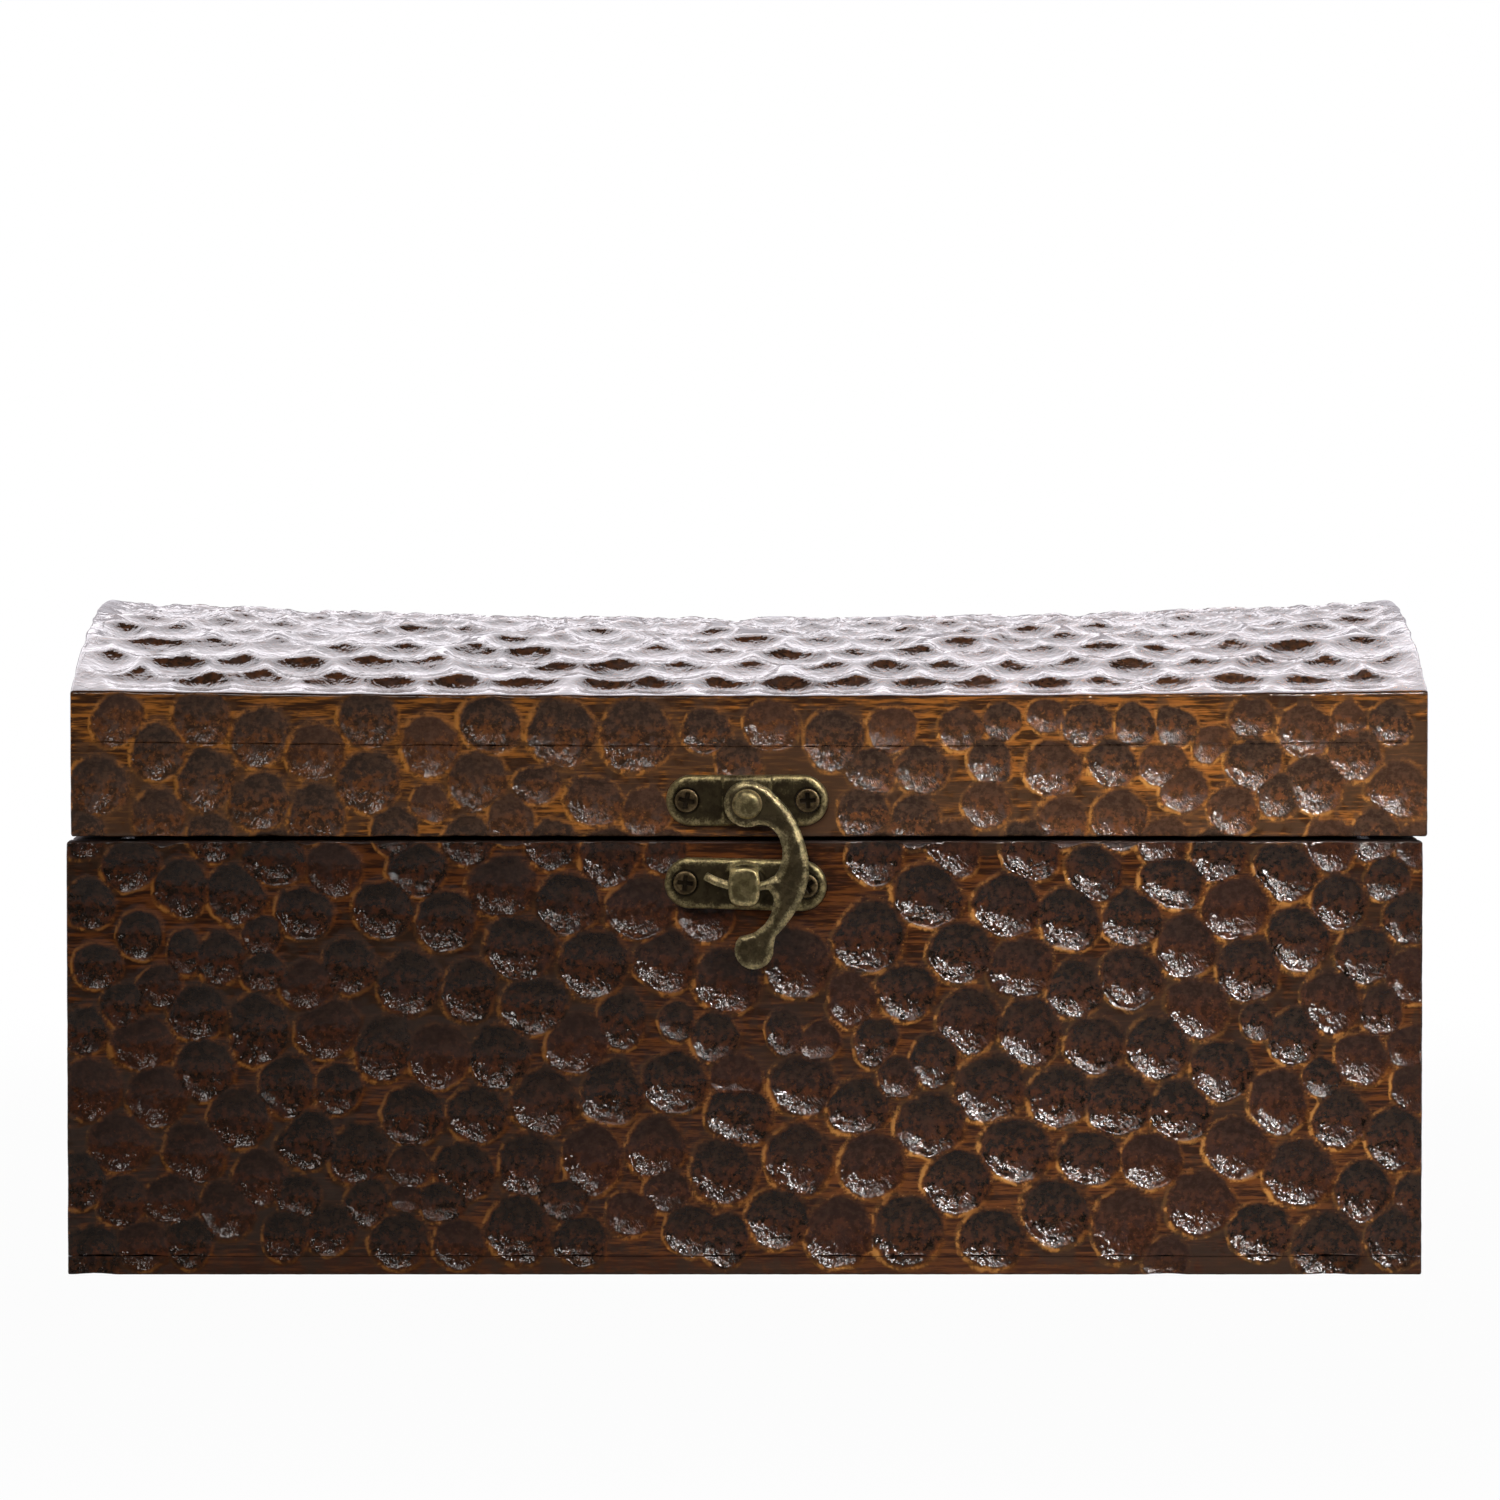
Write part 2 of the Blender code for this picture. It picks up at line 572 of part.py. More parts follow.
def notch_leaf(leaf, span, place):
    """Cuts one notch out of a leaf, between two places along its length."""
    reach = KNUCKLE_RADIUS + KNUCKLE_GAP
    size = (2 * KNUCKLE_RADIUS + CUT_OVERRUN, reach + CUT_OVERRUN, span[1] - span[0])
    centre = (KNUCKLE_RADIUS, reach - size[1] / 2, (span[0] + span[1]) / 2)
    combine(leaf, add_object(leaf.name + "_notch", block_mesh("notch", size), cutters,
                             place @ Matrix.Translation(centre)), "DIFFERENCE")


def make_hinge(side, x, body, lid):
    """Two leaves screwed to the backs of the body and the lid, and the pin through their knuckles."""
    third = HINGE_LENGTH / 6
    middle = (-third - KNUCKLE_GAP / 2, third + KNUCKLE_GAP / 2)
    outer = ((-HINGE_LENGTH / 2 - CUT_OVERRUN, -third + KNUCKLE_GAP / 2),
             (third - KNUCKLE_GAP / 2, HINGE_LENGTH / 2 + CUT_OVERRUN))
    seat = half_depth + leaf_seat
    for which, board, up, notches in (("body", body["back_board"], -1, (middle,)),
                                      ("lid", lid["lid_back_rail"], 1, outer)):
        place = facing((0, 1, 0), (0, 0, up), (x, seat, seam_middle))
        leaf = add_object(f"{side}_hinge_{which}_leaf", leaf_mesh(side + which), parts, place)
        for notch in notches:
            notch_leaf(leaf, notch, place)
        leaf.data.materials.append(finish_for(leaf.name, ANTIQUE_BRASS, 0.4, 1))
        shade_round(leaf)
        pieces = [leaf]
        for end, along in (("left", -1), ("right", 1)):
            head = out_of_back(x + along * HINGE_SCREW_SPACING / 2, leaf_seat + LEAF_THICKNESS,
                               seam_middle + up * HINGE_SCREW_DROP)
            pieces.append(drive_screw(f"{side}_hinge_{which}_{end}_screw", head, (leaf, board)))
        if which == "lid":
            for piece in pieces:
                hang_on(piece, lid_hinge_axis)
    end = HINGE_LENGTH / 2 + KNUCKLE_GAP
    cap = end + HINGE_PIN_HEAD_HEIGHT
    profile = [(0, cap), (HINGE_PIN_RADIUS, cap), (HINGE_PIN_HEAD_RADIUS, end), (HINGE_PIN_RADIUS, end)]
    profile += [(radius, -height) for radius, height in reversed(profile)]
    pin = turned(f"{side}_hinge_pin", profile, parts, facing((0, 1, 0), (0, 0, 1), (x, hinge_axis_y, seam_middle)),
                 steps=12)
    pin.data.materials.append(finish_for(pin.name, ANTIQUE_BRASS, 0.35, 1))


def latch_plate(name, place):
    """A stamped plate with round ends and a raised bridge across its middle."""
    ends = ROUND_STEPS // 2
    blank = outline_mesh(name, [stadium(PLATE_LENGTH, PLATE_HEIGHT, ends)], PLATE_THICKNESS, PLATE_ROUNDING)
    plate = add_object(name, blank, parts, place @ Matrix.Translation((0, 0, GLUE_GAP + PLATE_THICKNESS / 2)))
    bridge_depth = PLATE_THICKNESS / 2 + BRIDGE_RISE
    bridge = add_object(name + "_bridge", block_mesh("bridge", (BRIDGE_WIDTH, PLATE_HEIGHT, bridge_depth)), cutters,
                        place @ Matrix.Translation((0, 0, bridge_face - bridge_depth / 2)))
    round_edges(bridge, PLATE_ROUNDING)
    combine(plate, bridge, "UNION")
    plate.data.materials.append(finish_for(name, ANTIQUE_BRASS, 0.4, 1))
    shade_round(plate)
    return plate


def hook_outline():
    """The hook seen from the front, about its pivot, clockwise from the eye's right side."""
    def along(shares):
        return [(x * HOOK_REACH, z * HOOK_DROP) for x, z in shares]
    tab = (TAB_OFFSET, TAB_RADIUS - HOOK_DROP)
    tine_root = arc((0, 0), tine_outer_radius, TINE_FOOT_ROOT_ANGLE, TINE_TIP_ANGLE, 8)
    tine_back = arc((0, 0), tine_inner_radius, TINE_TIP_ANGLE, TINE_TOP_ROOT_ANGLE, 8)
    eye = arc((0, 0), EYE_RADIUS, math.radians(-62), math.radians(-290), 14)
    around_tab = arc(tab, TAB_RADIUS, math.radians(8), math.radians(-222), 12)
    return (smooth_run(along(ARM_OUTER_SHARES)) + around_tab + smooth_run(along(ARM_FOOT_SHARES))
            + tine_root + tine_back + smooth_run(along(ARM_INNER_SHARES)) + eye)


def smooth_run(points):
    """The points with one more between each two, on the smooth curve through them."""
    run = []
    for index in range(len(points) - 1):
        before = points[max(index - 1, 0)]
        start, end = points[index], points[index + 1]
        after = points[min(index + 2, len(points) - 1)]
        run.append(start)
        run.append(tuple((9 * (a + b) - before[axis] - after[axis]) / 16
                         for axis, (a, b) in enumerate(zip(start, end))))
    return run + [points[-1]]


def make_latch(body, lid):
    """Upper plate, hook and rivet on the lid; keeper plate and post on the body."""
    hook_plate = latch_plate("hook_plate", out_of_front(LATCH_OFFSET, 0, hook_plate_z))
    eye_place = out_of_front(LATCH_OFFSET, 0, pivot_z)
    shaft_hole = turned("rivet_hole", [(0, hook_back), (RIVET_SHAFT_RADIUS + RUNNING_CLEARANCE, hook_back),
                                       (RIVET_SHAFT_RADIUS + RUNNING_CLEARANCE, -GLUE_GAP), (0, -GLUE_GAP)],
                        cutters, eye_place)
    combine(hook_plate, shaft_hole, "DIFFERENCE")
    moving_with_lid = [hook_plate]
    for end, along in (("left", -1), ("right", 1)):
        head = out_of_front(LATCH_OFFSET + along * PLATE_SCREW_SPACING / 2, plate_face, hook_plate_z)
        moving_with_lid.append(drive_screw(f"hook_plate_{end}_screw", head, (hook_plate, lid["lid_front_rail"])))

    outlines = [hook_outline(), ring((0, 0), RIVET_SHAFT_RADIUS + RUNNING_CLEARANCE)]
    hook = add_object("swing_hook", outline_mesh("swing_hook", outlines, HOOK_THICKNESS, HOOK_ROUNDING), parts,
                      eye_place @ Matrix.Translation((0, 0, hook_back + HOOK_THICKNESS / 2)))
    hook.data.materials.append(finish_for(hook.name, ANTIQUE_BRASS, 0.35, 1))
    shade_round(hook)
    hang_on(hook, hook_pivot)

    dome = [(RIVET_HEAD_RADIUS * math.sin(math.pi / 8 * step),
             head_back + RIVET_HEAD_HEIGHT * math.cos(math.pi / 8 * step)) for step in range(5)]
    rivet = turned("hook_rivet", dome + [(RIVET_SHAFT_RADIUS, head_back), (RIVET_SHAFT_RADIUS, GLUE_GAP),
                                         (0, GLUE_GAP)], parts, eye_place)
    rivet.data.materials.append(finish_for(rivet.name, WORN_BRASS, 0.35, 1))
    moving_with_lid.append(rivet)
    for piece in moving_with_lid:
        hang_on(piece, lid_hinge_axis)

    keeper_place = out_of_front(keeper_x, 0, keeper_z, KEEPER_TILT)
    keeper = latch_plate("keeper_plate", keeper_place)
    for end, along in (("left", -1), ("right", 1)):
        head = keeper_place @ Matrix.Translation((along * PLATE_SCREW_SPACING / 2, 0, plate_face))
        drive_screw(f"keeper_{end}_screw", head, (keeper, body["front_board"]))

    stem_z = pivot_z - POST_STEM_FOOT + POST_STEM_HEIGHT / 2
    stem_top = head_back + POST_HEAD_THICKNESS / 2
    stem_depth = stem_top - GLUE_GAP
    hole_size = (POST_STEM_WIDTH + 2 * SCREW_CLEARANCE, POST_STEM_HEIGHT + 2 * SCREW_CLEARANCE,
                 bridge_face + 2 * CUT_OVERRUN)
    stem_hole = add_object("stem_hole", block_mesh("stem_hole", hole_size), cutters, out_of_front(post_x, 0, stem_z))
    combine(keeper, stem_hole, "DIFFERENCE")
    head = rounded_rectangle(POST_HEAD_WIDTH, POST_HEAD_HEIGHT, POST_HEAD_CORNER, 4)
    blank = outline_mesh("keeper_post", [head], POST_HEAD_THICKNESS, POST_HEAD_ROUNDING)
    post = add_object("keeper_post", blank, parts,
                      out_of_front(post_x, head_back + POST_HEAD_THICKNESS / 2, pivot_z - POST_HEAD_DROP))
    stem = add_object("post_stem", block_mesh("post_stem", (POST_STEM_WIDTH, POST_STEM_HEIGHT, stem_depth)), cutters,
                      out_of_front(post_x, GLUE_GAP + stem_depth / 2, stem_z))
    combine(post, stem, "UNION")
    post.data.materials.append(finish_for(post.name, ANTIQUE_BRASS, 0.35, 1))
    shade_round(post)


remove_everything()
parts = collection_named("wooden_box")
cutters = collection_named("cutters")
lid_hinge_axis = add_axis("lid_hinge_axis", Matrix.Translation((0, hinge_axis_y, seam_middle)))
hook_pivot = add_axis("hook_pivot", Matrix.Translation((LATCH_OFFSET, -half_depth - hook_back, pivot_z)))
bpy.context.view_layer.update()
hang_on(hook_pivot, lid_hinge_axis)
wood_screw = screw_mesh()
screw_finish = finish_for("wood_screw", ANTIQUE_BRASS, 0.4, 1)
body_boards = make_body()
lid_pieces = make_lid()
for side_name, side_sign in (("left", -1), ("right", 1)):
    make_hinge(side_name, side_sign * (BOX_WIDTH / 2 - HINGE_INSET), body_boards, lid_pieces)
make_latch(body_boards, lid_pieces)
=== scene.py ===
import math
import random

import bmesh
import bpy
import numpy as np
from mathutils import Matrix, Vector
from mathutils.bvhtree import BVHTree


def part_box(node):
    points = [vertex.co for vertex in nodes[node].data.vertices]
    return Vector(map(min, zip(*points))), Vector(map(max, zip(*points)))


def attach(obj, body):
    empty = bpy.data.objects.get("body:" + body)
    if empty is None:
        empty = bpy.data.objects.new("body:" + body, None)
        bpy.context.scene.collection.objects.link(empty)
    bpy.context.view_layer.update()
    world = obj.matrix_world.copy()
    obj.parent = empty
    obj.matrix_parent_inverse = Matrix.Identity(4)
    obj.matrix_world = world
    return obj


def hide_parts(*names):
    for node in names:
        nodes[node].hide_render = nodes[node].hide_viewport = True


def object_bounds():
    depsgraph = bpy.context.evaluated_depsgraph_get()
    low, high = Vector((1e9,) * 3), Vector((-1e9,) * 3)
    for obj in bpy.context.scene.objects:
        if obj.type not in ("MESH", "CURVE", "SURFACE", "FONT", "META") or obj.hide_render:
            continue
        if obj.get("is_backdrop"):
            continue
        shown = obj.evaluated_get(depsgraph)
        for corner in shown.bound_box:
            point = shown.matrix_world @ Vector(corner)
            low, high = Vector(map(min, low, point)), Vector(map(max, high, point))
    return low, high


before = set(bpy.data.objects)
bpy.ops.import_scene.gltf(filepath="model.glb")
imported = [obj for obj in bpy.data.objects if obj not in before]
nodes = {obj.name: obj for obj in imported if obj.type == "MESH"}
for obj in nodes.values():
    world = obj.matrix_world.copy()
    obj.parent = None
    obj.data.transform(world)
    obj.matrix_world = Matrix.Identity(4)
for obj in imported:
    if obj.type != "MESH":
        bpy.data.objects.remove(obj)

cad_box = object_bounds()
scene = bpy.context.scene


# Camera, as the photograph was taken: level with the lid, square on to the front, through a long lens.
# The picture is square, and the box fills its width.
CAMERA_PLACE = (0.0011, -1.589, 0.1706)
CAMERA_TILT = 2.36
camera_data = bpy.data.cameras.new("front_camera")
camera_data.lens = 174.8
camera_data.sensor_width = 36
camera_data.clip_start = 0.05
camera = bpy.data.objects.new("front_camera", camera_data)
camera.location = CAMERA_PLACE
camera.rotation_euler = (math.radians(90 - CAMERA_TILT), 0, 0)
scene.collection.objects.link(camera)
scene.camera = camera
scene.view_settings.view_transform = "Standard"


# Studio: a pale floor, a white surround behind the box, and softboxes. Three narrow ones in an arc on the
# right give the highlights low in the cuts, two on the left fill in, and a wide one above and behind
# whitens the lid's varnish.
def tint(red, green, blue):
    """A colour as a screen shows it, 0 to 255, as the linear value that a socket takes."""
    shares = [channel / 255 for channel in (red, green, blue)]
    return tuple(s / 12.92 if s <= 0.04045 else ((s + 0.055) / 1.055) ** 2.4 for s in shares) + (1.0,)


def grey(value):
    return (value, value, value, 1.0)


class Wire:
    """What a node gives. A sum written with it, such as wire * 2 + other, adds the nodes that work it out."""

    def __init__(self, tree, socket):
        self.tree, self.socket = tree, socket

    def sums(self, operation, *values, clamp=False):
        sockets = dict(enumerate(values))
        return get(self.tree, "ShaderNodeMath", 0, sockets, operation=operation, use_clamp=clamp)

    def then(self, operation, *others, clamp=False):
        return self.sums(operation, self, *others, clamp=clamp)

    def __add__(self, other):
        return self.sums("ADD", self, other)

    def __radd__(self, other):
        return self.sums("ADD", other, self)

    def __sub__(self, other):
        return self.sums("SUBTRACT", self, other)

    def __rsub__(self, other):
        return self.sums("SUBTRACT", other, self)

    def __mul__(self, other):
        return self.sums("MULTIPLY", self, other)

    def __truediv__(self, other):
        return self.sums("DIVIDE", self, other)

    def arrow(self, operation, sockets=None, output=0):
        """One step of vector arithmetic, with this as the first vector."""
        sockets = {0: self, **(sockets or {})}
        return get(self.tree, "ShaderNodeVectorMath", output, sockets, operation=operation)

    def ramp(self, low, high):
        """0 below low, 1 above high, and a smooth step between them."""
        return get(self.tree, "ShaderNodeMapRange", 0, {"Value": self, "From Min": low, "From Max": high},
                   interpolation_type="SMOOTHSTEP")


def feed(node, sockets):
    """Sets a node's sockets, each to a number, a colour or what another node gives."""
    for name, value in sockets.items():
        if isinstance(value, Wire):
            value.tree.links.new(value.socket, node.inputs[name])
        else:
            node.inputs[name].default_value = value


def put(tree, kind, sockets=None, **settings):
    """Adds a node."""
    made = tree.nodes.new(kind)
    for name, value in settings.items():
        setattr(made, name, value)
    feed(made, sockets or {})
    return made


def get(tree, kind, output=0, sockets=None, **settings):
    """Adds a node, and answers with one of the things that it gives."""
    return Wire(tree, put(tree, kind, sockets, **settings).outputs[output])


def parts(whole, kind="ShaderNodeSeparateXYZ"):
    """The numbers that make up a vector or a colour."""
    return [Wire(whole.tree, socket) for socket in put(whole.tree, kind, {0: whole}).outputs]


def join(tree, x=0.0, y=0.0, z=0.0):
    return get(tree, "ShaderNodeCombineXYZ", 0, {0: x, 1: y, 2: z})


def blend(share, first, second):
    """Two colours mixed by share."""
    return get(share.tree, "ShaderNodeMix", 2, {0: share, 6: first, 7: second}, data_type="RGBA")


def noise(place, scale, detail=3.0, roughness=0.55, output=0):
    return get(place.tree, "ShaderNodeTexNoise", output,
               {"Vector": place, "Scale": scale, "Detail": detail, "Roughness": roughness})


def new_material(name):
    material = bpy.data.materials.new(name)
    material.use_nodes = True
    return material, material.node_tree, material.node_tree.nodes["Principled BSDF"]


def seen_rays(tree):
    """Whether the camera sees a surface directly, and whether it sees it mirrored or through glass."""
    path = put(tree, "ShaderNodeLightPath").outputs
    direct, glossy, through = (Wire(tree, path[f"Is {way} Ray"])
                               for way in ("Camera", "Glossy", "Transmission"))
    return direct, glossy.then("ADD", through, clamp=True)


FRONT_GLOW = 0.16
FRONT_MIRRORED = 0.02
BACK_GLOW = 0.30
BACK_WHITE = (0.86, 0.83, 0.90, 1.0)
FLOOR_SIZE = 0.75
FLOOR_STEPS = 96
FLOOR_DROP = 0.0002
FLOOR_WHITE = 0.97
FLOOR_MATT = 0.16
FLOOR_IN_MIRRORS = 0.08

world = bpy.data.worlds.new("studio")
scene.world = world
world.use_nodes = True
sky = world.node_tree
sky.nodes.clear()
heading = parts(get(sky, "ShaderNodeTexCoord", "Generated"))
low_down = 1 - heading[2].ramp(0.30, 0.55)
behind = heading[1].ramp(-0.05, 0.45) * low_down
direct, mirrored = seen_rays(sky)
for_matt = blend(behind, grey(FRONT_GLOW), grey(BACK_GLOW))
for_mirrors = blend(behind, grey(FRONT_MIRRORED), BACK_WHITE)
studio_glow = blend(mirrored, for_matt, for_mirrors)
surround = get(sky, "ShaderNodeBackground", 0, {"Color": blend(direct, studio_glow, grey(1.0))})
put(sky, "ShaderNodeOutputWorld", {"Surface": surround})


def circle(count):
    return [(math.cos(math.tau * k / count), math.sin(math.tau * k / count)) for k in range(count)]


floor_mesh = bpy.data.meshes.new("studio_floor")
floor_ring = [(FLOOR_SIZE * c, FLOOR_SIZE * s, -FLOOR_DROP) for c, s in circle(FLOOR_STEPS)]
floor_mesh.from_pydata(floor_ring, [], [list(range(96))])
floor = bpy.data.objects.new("studio_floor", floor_mesh)
scene.collection.objects.link(floor)
paint, tree, _ = new_material("pale_floor")
tree.nodes.clear()
away = get(tree, "ShaderNodeTexCoord", "Object").arrow("LENGTH", output="Value")
edge = away.ramp(0.25, FLOOR_SIZE * 0.95)
direct, mirrored = seen_rays(tree)
shown = direct.then("ADD", mirrored * FLOOR_IN_MIRRORS, clamp=True)
even = FLOOR_WHITE + edge * (1 - FLOOR_WHITE)
matt = get(tree, "ShaderNodeBsdfDiffuse", 0, {"Color": grey(FLOOR_MATT)})
glow = get(tree, "ShaderNodeEmission", 0, {"Color": grey(1.0), "Strength": 1.0})
mixed = get(tree, "ShaderNodeMixShader", 0, {0: shown * even, 1: matt, 2: glow})
put(tree, "ShaderNodeOutputMaterial", {"Surface": mixed})
floor_mesh.materials.append(paint)
floor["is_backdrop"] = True

# name, place, aimed at, width and height, radiance, how far its light fans out in degrees, and colour
WARM_WHITE = (1.0, 0.97, 0.94)
SOFTBOXES = (
    ("key_low", (0.92, -0.94, 0.44), (0.09, -0.09, 0.05), (0.13, 0.13), 98.0, 13, WARM_WHITE),
    ("key_middle", (0.65, -0.94, 0.77), (0.09, -0.09, 0.05), (0.13, 0.13), 205.0, 13, WARM_WHITE),
    ("key_high", (0.28, -0.94, 0.94), (0.12, -0.09, 0.05), (0.13, 0.13), 152.0, 14, WARM_WHITE),
    ("fill_left", (-0.25, -0.95, 1.00), (-0.03, -0.09, 0.05), (0.36, 0.22), 7.0, 180, WARM_WHITE),
    ("soft_left", (-0.55, -0.95, 0.55), (-0.09, -0.09, 0.04), (0.80, 0.60), 8.6, 45, (1.0, 0.93, 0.86)),
    ("overhead", (0.0, 0.85, 0.95), (0.0, 0.0, 0.10), (2.2, 0.90), 3.7, 180, (0.97, 0.94, 1.0)),
)
# The large lamp on the left lights the stain, and is left out of reflections.
UNMIRRORED = "soft_left"
for name, place, aim, size, radiance, spread, colour in SOFTBOXES:
    lamp = bpy.data.lights.new(name, "AREA")
    lamp.shape = "RECTANGLE"
    lamp.size, lamp.size_y = size
    half_spread = math.radians(min(spread, 179.9)) / 2
    lamp.energy = radiance * math.pi * size[0] * size[1] * (1 - half_spread / math.tan(half_spread))
    lamp.spread = math.radians(spread)
    lamp.color = colour
    softbox = bpy.data.objects.new(name, lamp)
    softbox.location = place
    softbox.rotation_euler = (Vector(aim) - Vector(place)).to_track_quat("-Z", "Y").to_euler()
    softbox.visible_glossy = name != UNMIRRORED
    scene.collection.objects.link(softbox)


# Body boards: front, back and two sides, 10 mm hardwood glued round a bottom panel.
# Every outer face is cut all over with a gouge, one scoop beside the next, then stained dark and
# varnished, and the high lands between the scoops are rubbed back to amber.
BOX_WIDTH = 0.280
BOX_DEPTH = 0.178
BODY_HEIGHT = 0.090
WALL = 0.010
BOTTOM = 0.004
GLUE_GAP = 0.0003
# Boards that meet come within a hair of each other, and the edges that they hide aren't rounded.
HAIR = 0.00004
EDGE_ROUNDING = 0.0007
CELL = 0.00057
EDGE_CELL = 0.0011
half_width, half_depth = BOX_WIDTH / 2, BOX_DEPTH / 2

CUT_PITCH = 0.0134
CUT_ROW = 0.0117
CUT_RADIUS = 0.0061
CUT_SPREAD = 0.0015
CUT_DEPTH = 0.00170
CUT_REACH = 0.0050
CUT_TREMOR = 0.0024
SIDE_PAGE = 5.0
CUT_SETS = 4
CUT_SEED = 41


def laid_steps(low, high, cell=CELL, rounding=EDGE_ROUNDING):
    """Places across a board: even steps, with closer ones over its rounded edges."""
    count = max(1, round((high - low - 2 * rounding) / cell))
    middle = [low + rounding + (high - low - 2 * rounding) * step / count for step in range(count + 1)]
    close = [rounding * share for share in (0, 0.25, 0.6)]
    return [low + step for step in close] + middle + [high - step for step in reversed(close)]


def close_up(shape, mesh):
    """Writes a closed shape into a mesh, with its faces turned outward."""
    bmesh.ops.recalc_face_normals(shape, faces=shape.faces)
    shape.to_mesh(mesh)
    shape.free()
    return mesh


def board_mesh(name, us, vs, ws, place, plain=False, coarse=9, glued=()):
    """A closed board: a face over us and vs, fine unless it is plain, edges down through ws, a plain back.
    Its edges are rounded, but not those named in glued, which meet another board."""
    last_u, last_v = len(us) - 1, len(vs) - 1
    loop = ([(i, 0) for i in range(last_u)] + [(last_u, j) for j in range(last_v)]
            + [(i, last_v) for i in range(last_u, 0, -1)] + [(0, j) for j in range(last_v, 0, -1)])
    corners, faces = [], []

    def plain_face(ring, w):
        """Closes one side with large flat cells, which keep every corner of the fine edge."""
        spots = {spot: ring[k] for k, spot in enumerate(loop)}
        across = sorted(set(range(0, last_u, coarse)) | {last_u})
        along = sorted(set(range(0, last_v, coarse)) | {last_v})
        for i in across[1:-1]:
            for j in along[1:-1]:
                spots[(i, j)] = len(corners)
                corners.append((us[i], vs[j], w))
        for i0, i1 in zip(across, across[1:]):
            for j0, j1 in zip(along, along[1:]):
                walk = [(i, j0) for i in (range(i0, i1) if j0 == 0 else (i0,))]
                walk += [(i1, j) for j in (range(j0, j1) if i1 == last_u else (j0,))]
                walk += [(i, j1) for i in (range(i1, i0, -1) if j1 == last_v else (i1,))]
                walk += [(i0, j) for j in (range(j1, j0, -1) if i0 == 0 else (j1,))]
                faces.append(tuple(spots[spot] for spot in walk))

    if plain:
        corners += [(us[i], vs[j], ws[0]) for i, j in loop]
        ring = list(range(len(loop)))
        plain_face(ring, ws[0])
    else:
        rows = len(vs)
        corners += [(u, v, ws[0]) for u in us for v in vs]
        ring = [i * rows + j for i, j in loop]
        faces += [(i * rows + j, i * rows + j + 1, (i + 1) * rows + j + 1, (i + 1) * rows + j)
                  for i in range(last_u) for j in range(last_v)]
    for w in ws[1:]:
        start = len(corners)
        corners += [(us[i], vs[j], w) for i, j in loop]
        lower = list(range(start, start + len(loop)))
        faces += [(ring[k - 1], ring[k], lower[k], lower[k - 1]) for k in range(len(loop))]
        ring = lower
    plain_face(ring, ws[-1])
    points = np.array(corners)
    sides = ("start", "end", "foot", "head", "back")
    soft = {side: 0.0 if side in glued else EDGE_ROUNDING for side in sides}
    low = np.array([us[0] + soft["start"], vs[0] + soft["foot"], ws[0] + EDGE_ROUNDING])
    high = np.array([us[-1] - soft["end"], vs[-1] - soft["head"], ws[-1] - soft["back"]])
    core = np.clip(points, low, high)
    out = points - core
    length = np.maximum(np.linalg.norm(out, axis=1, keepdims=True), 1e-9)
    on_edge = ((np.abs(out) > 1e-9).sum(axis=1) > 1)[:, None]
    points = np.where(on_edge, core + out * EDGE_ROUNDING / length, points)
    mesh = bpy.data.meshes.new(name)
    mesh.from_pydata([place(*point) for point in points.tolist()], [], faces)
    shape = bmesh.new()
    shape.from_mesh(mesh)
    return close_up(shape, mesh)


def keep_number(mesh, name, values):
    mesh.attributes.new(name, "FLOAT", "POINT").data.foreach_set("value", np.asarray(values, np.float32))


def spread_sets(spots):
    """Sorts cuts into sets, so that no two of a set are neighbours."""
    chosen = []
    for k, spot in enumerate(spots):
        nearest = [9.0] * CUT_SETS
        for other in range(k):
            gap = math.hypot(spot[0] - spots[other][0], spot[1] - spots[other][1])
            nearest[chosen[other]] = min(nearest[chosen[other]], gap)
        chosen.append(nearest.index(max(nearest)))
    return chosen


def rows_of_cuts(seed, u_span, v_span):
    """Gouge cuts in uneven rows, over a face that isn't seen in the photograph: across, up and radius."""
    chance = random.Random(seed)
    cuts = []
    rows = max(1, round((v_span[1] - v_span[0]) / CUT_ROW))
    for row in range(rows):
        v = v_span[0] + (row + 0.5) * (v_span[1] - v_span[0]) / rows
        for column in range(round((u_span[1] - u_span[0]) / CUT_PITCH) + 1):
            u = u_span[0] + (column + 0.5 * (row % 2)) * CUT_PITCH
            cuts.append((u + chance.gauss(0, CUT_SPREAD), v + chance.gauss(0, CUT_SPREAD * 0.7),
                         CUT_RADIUS * chance.uniform(0.86, 1.12)))
    return cuts


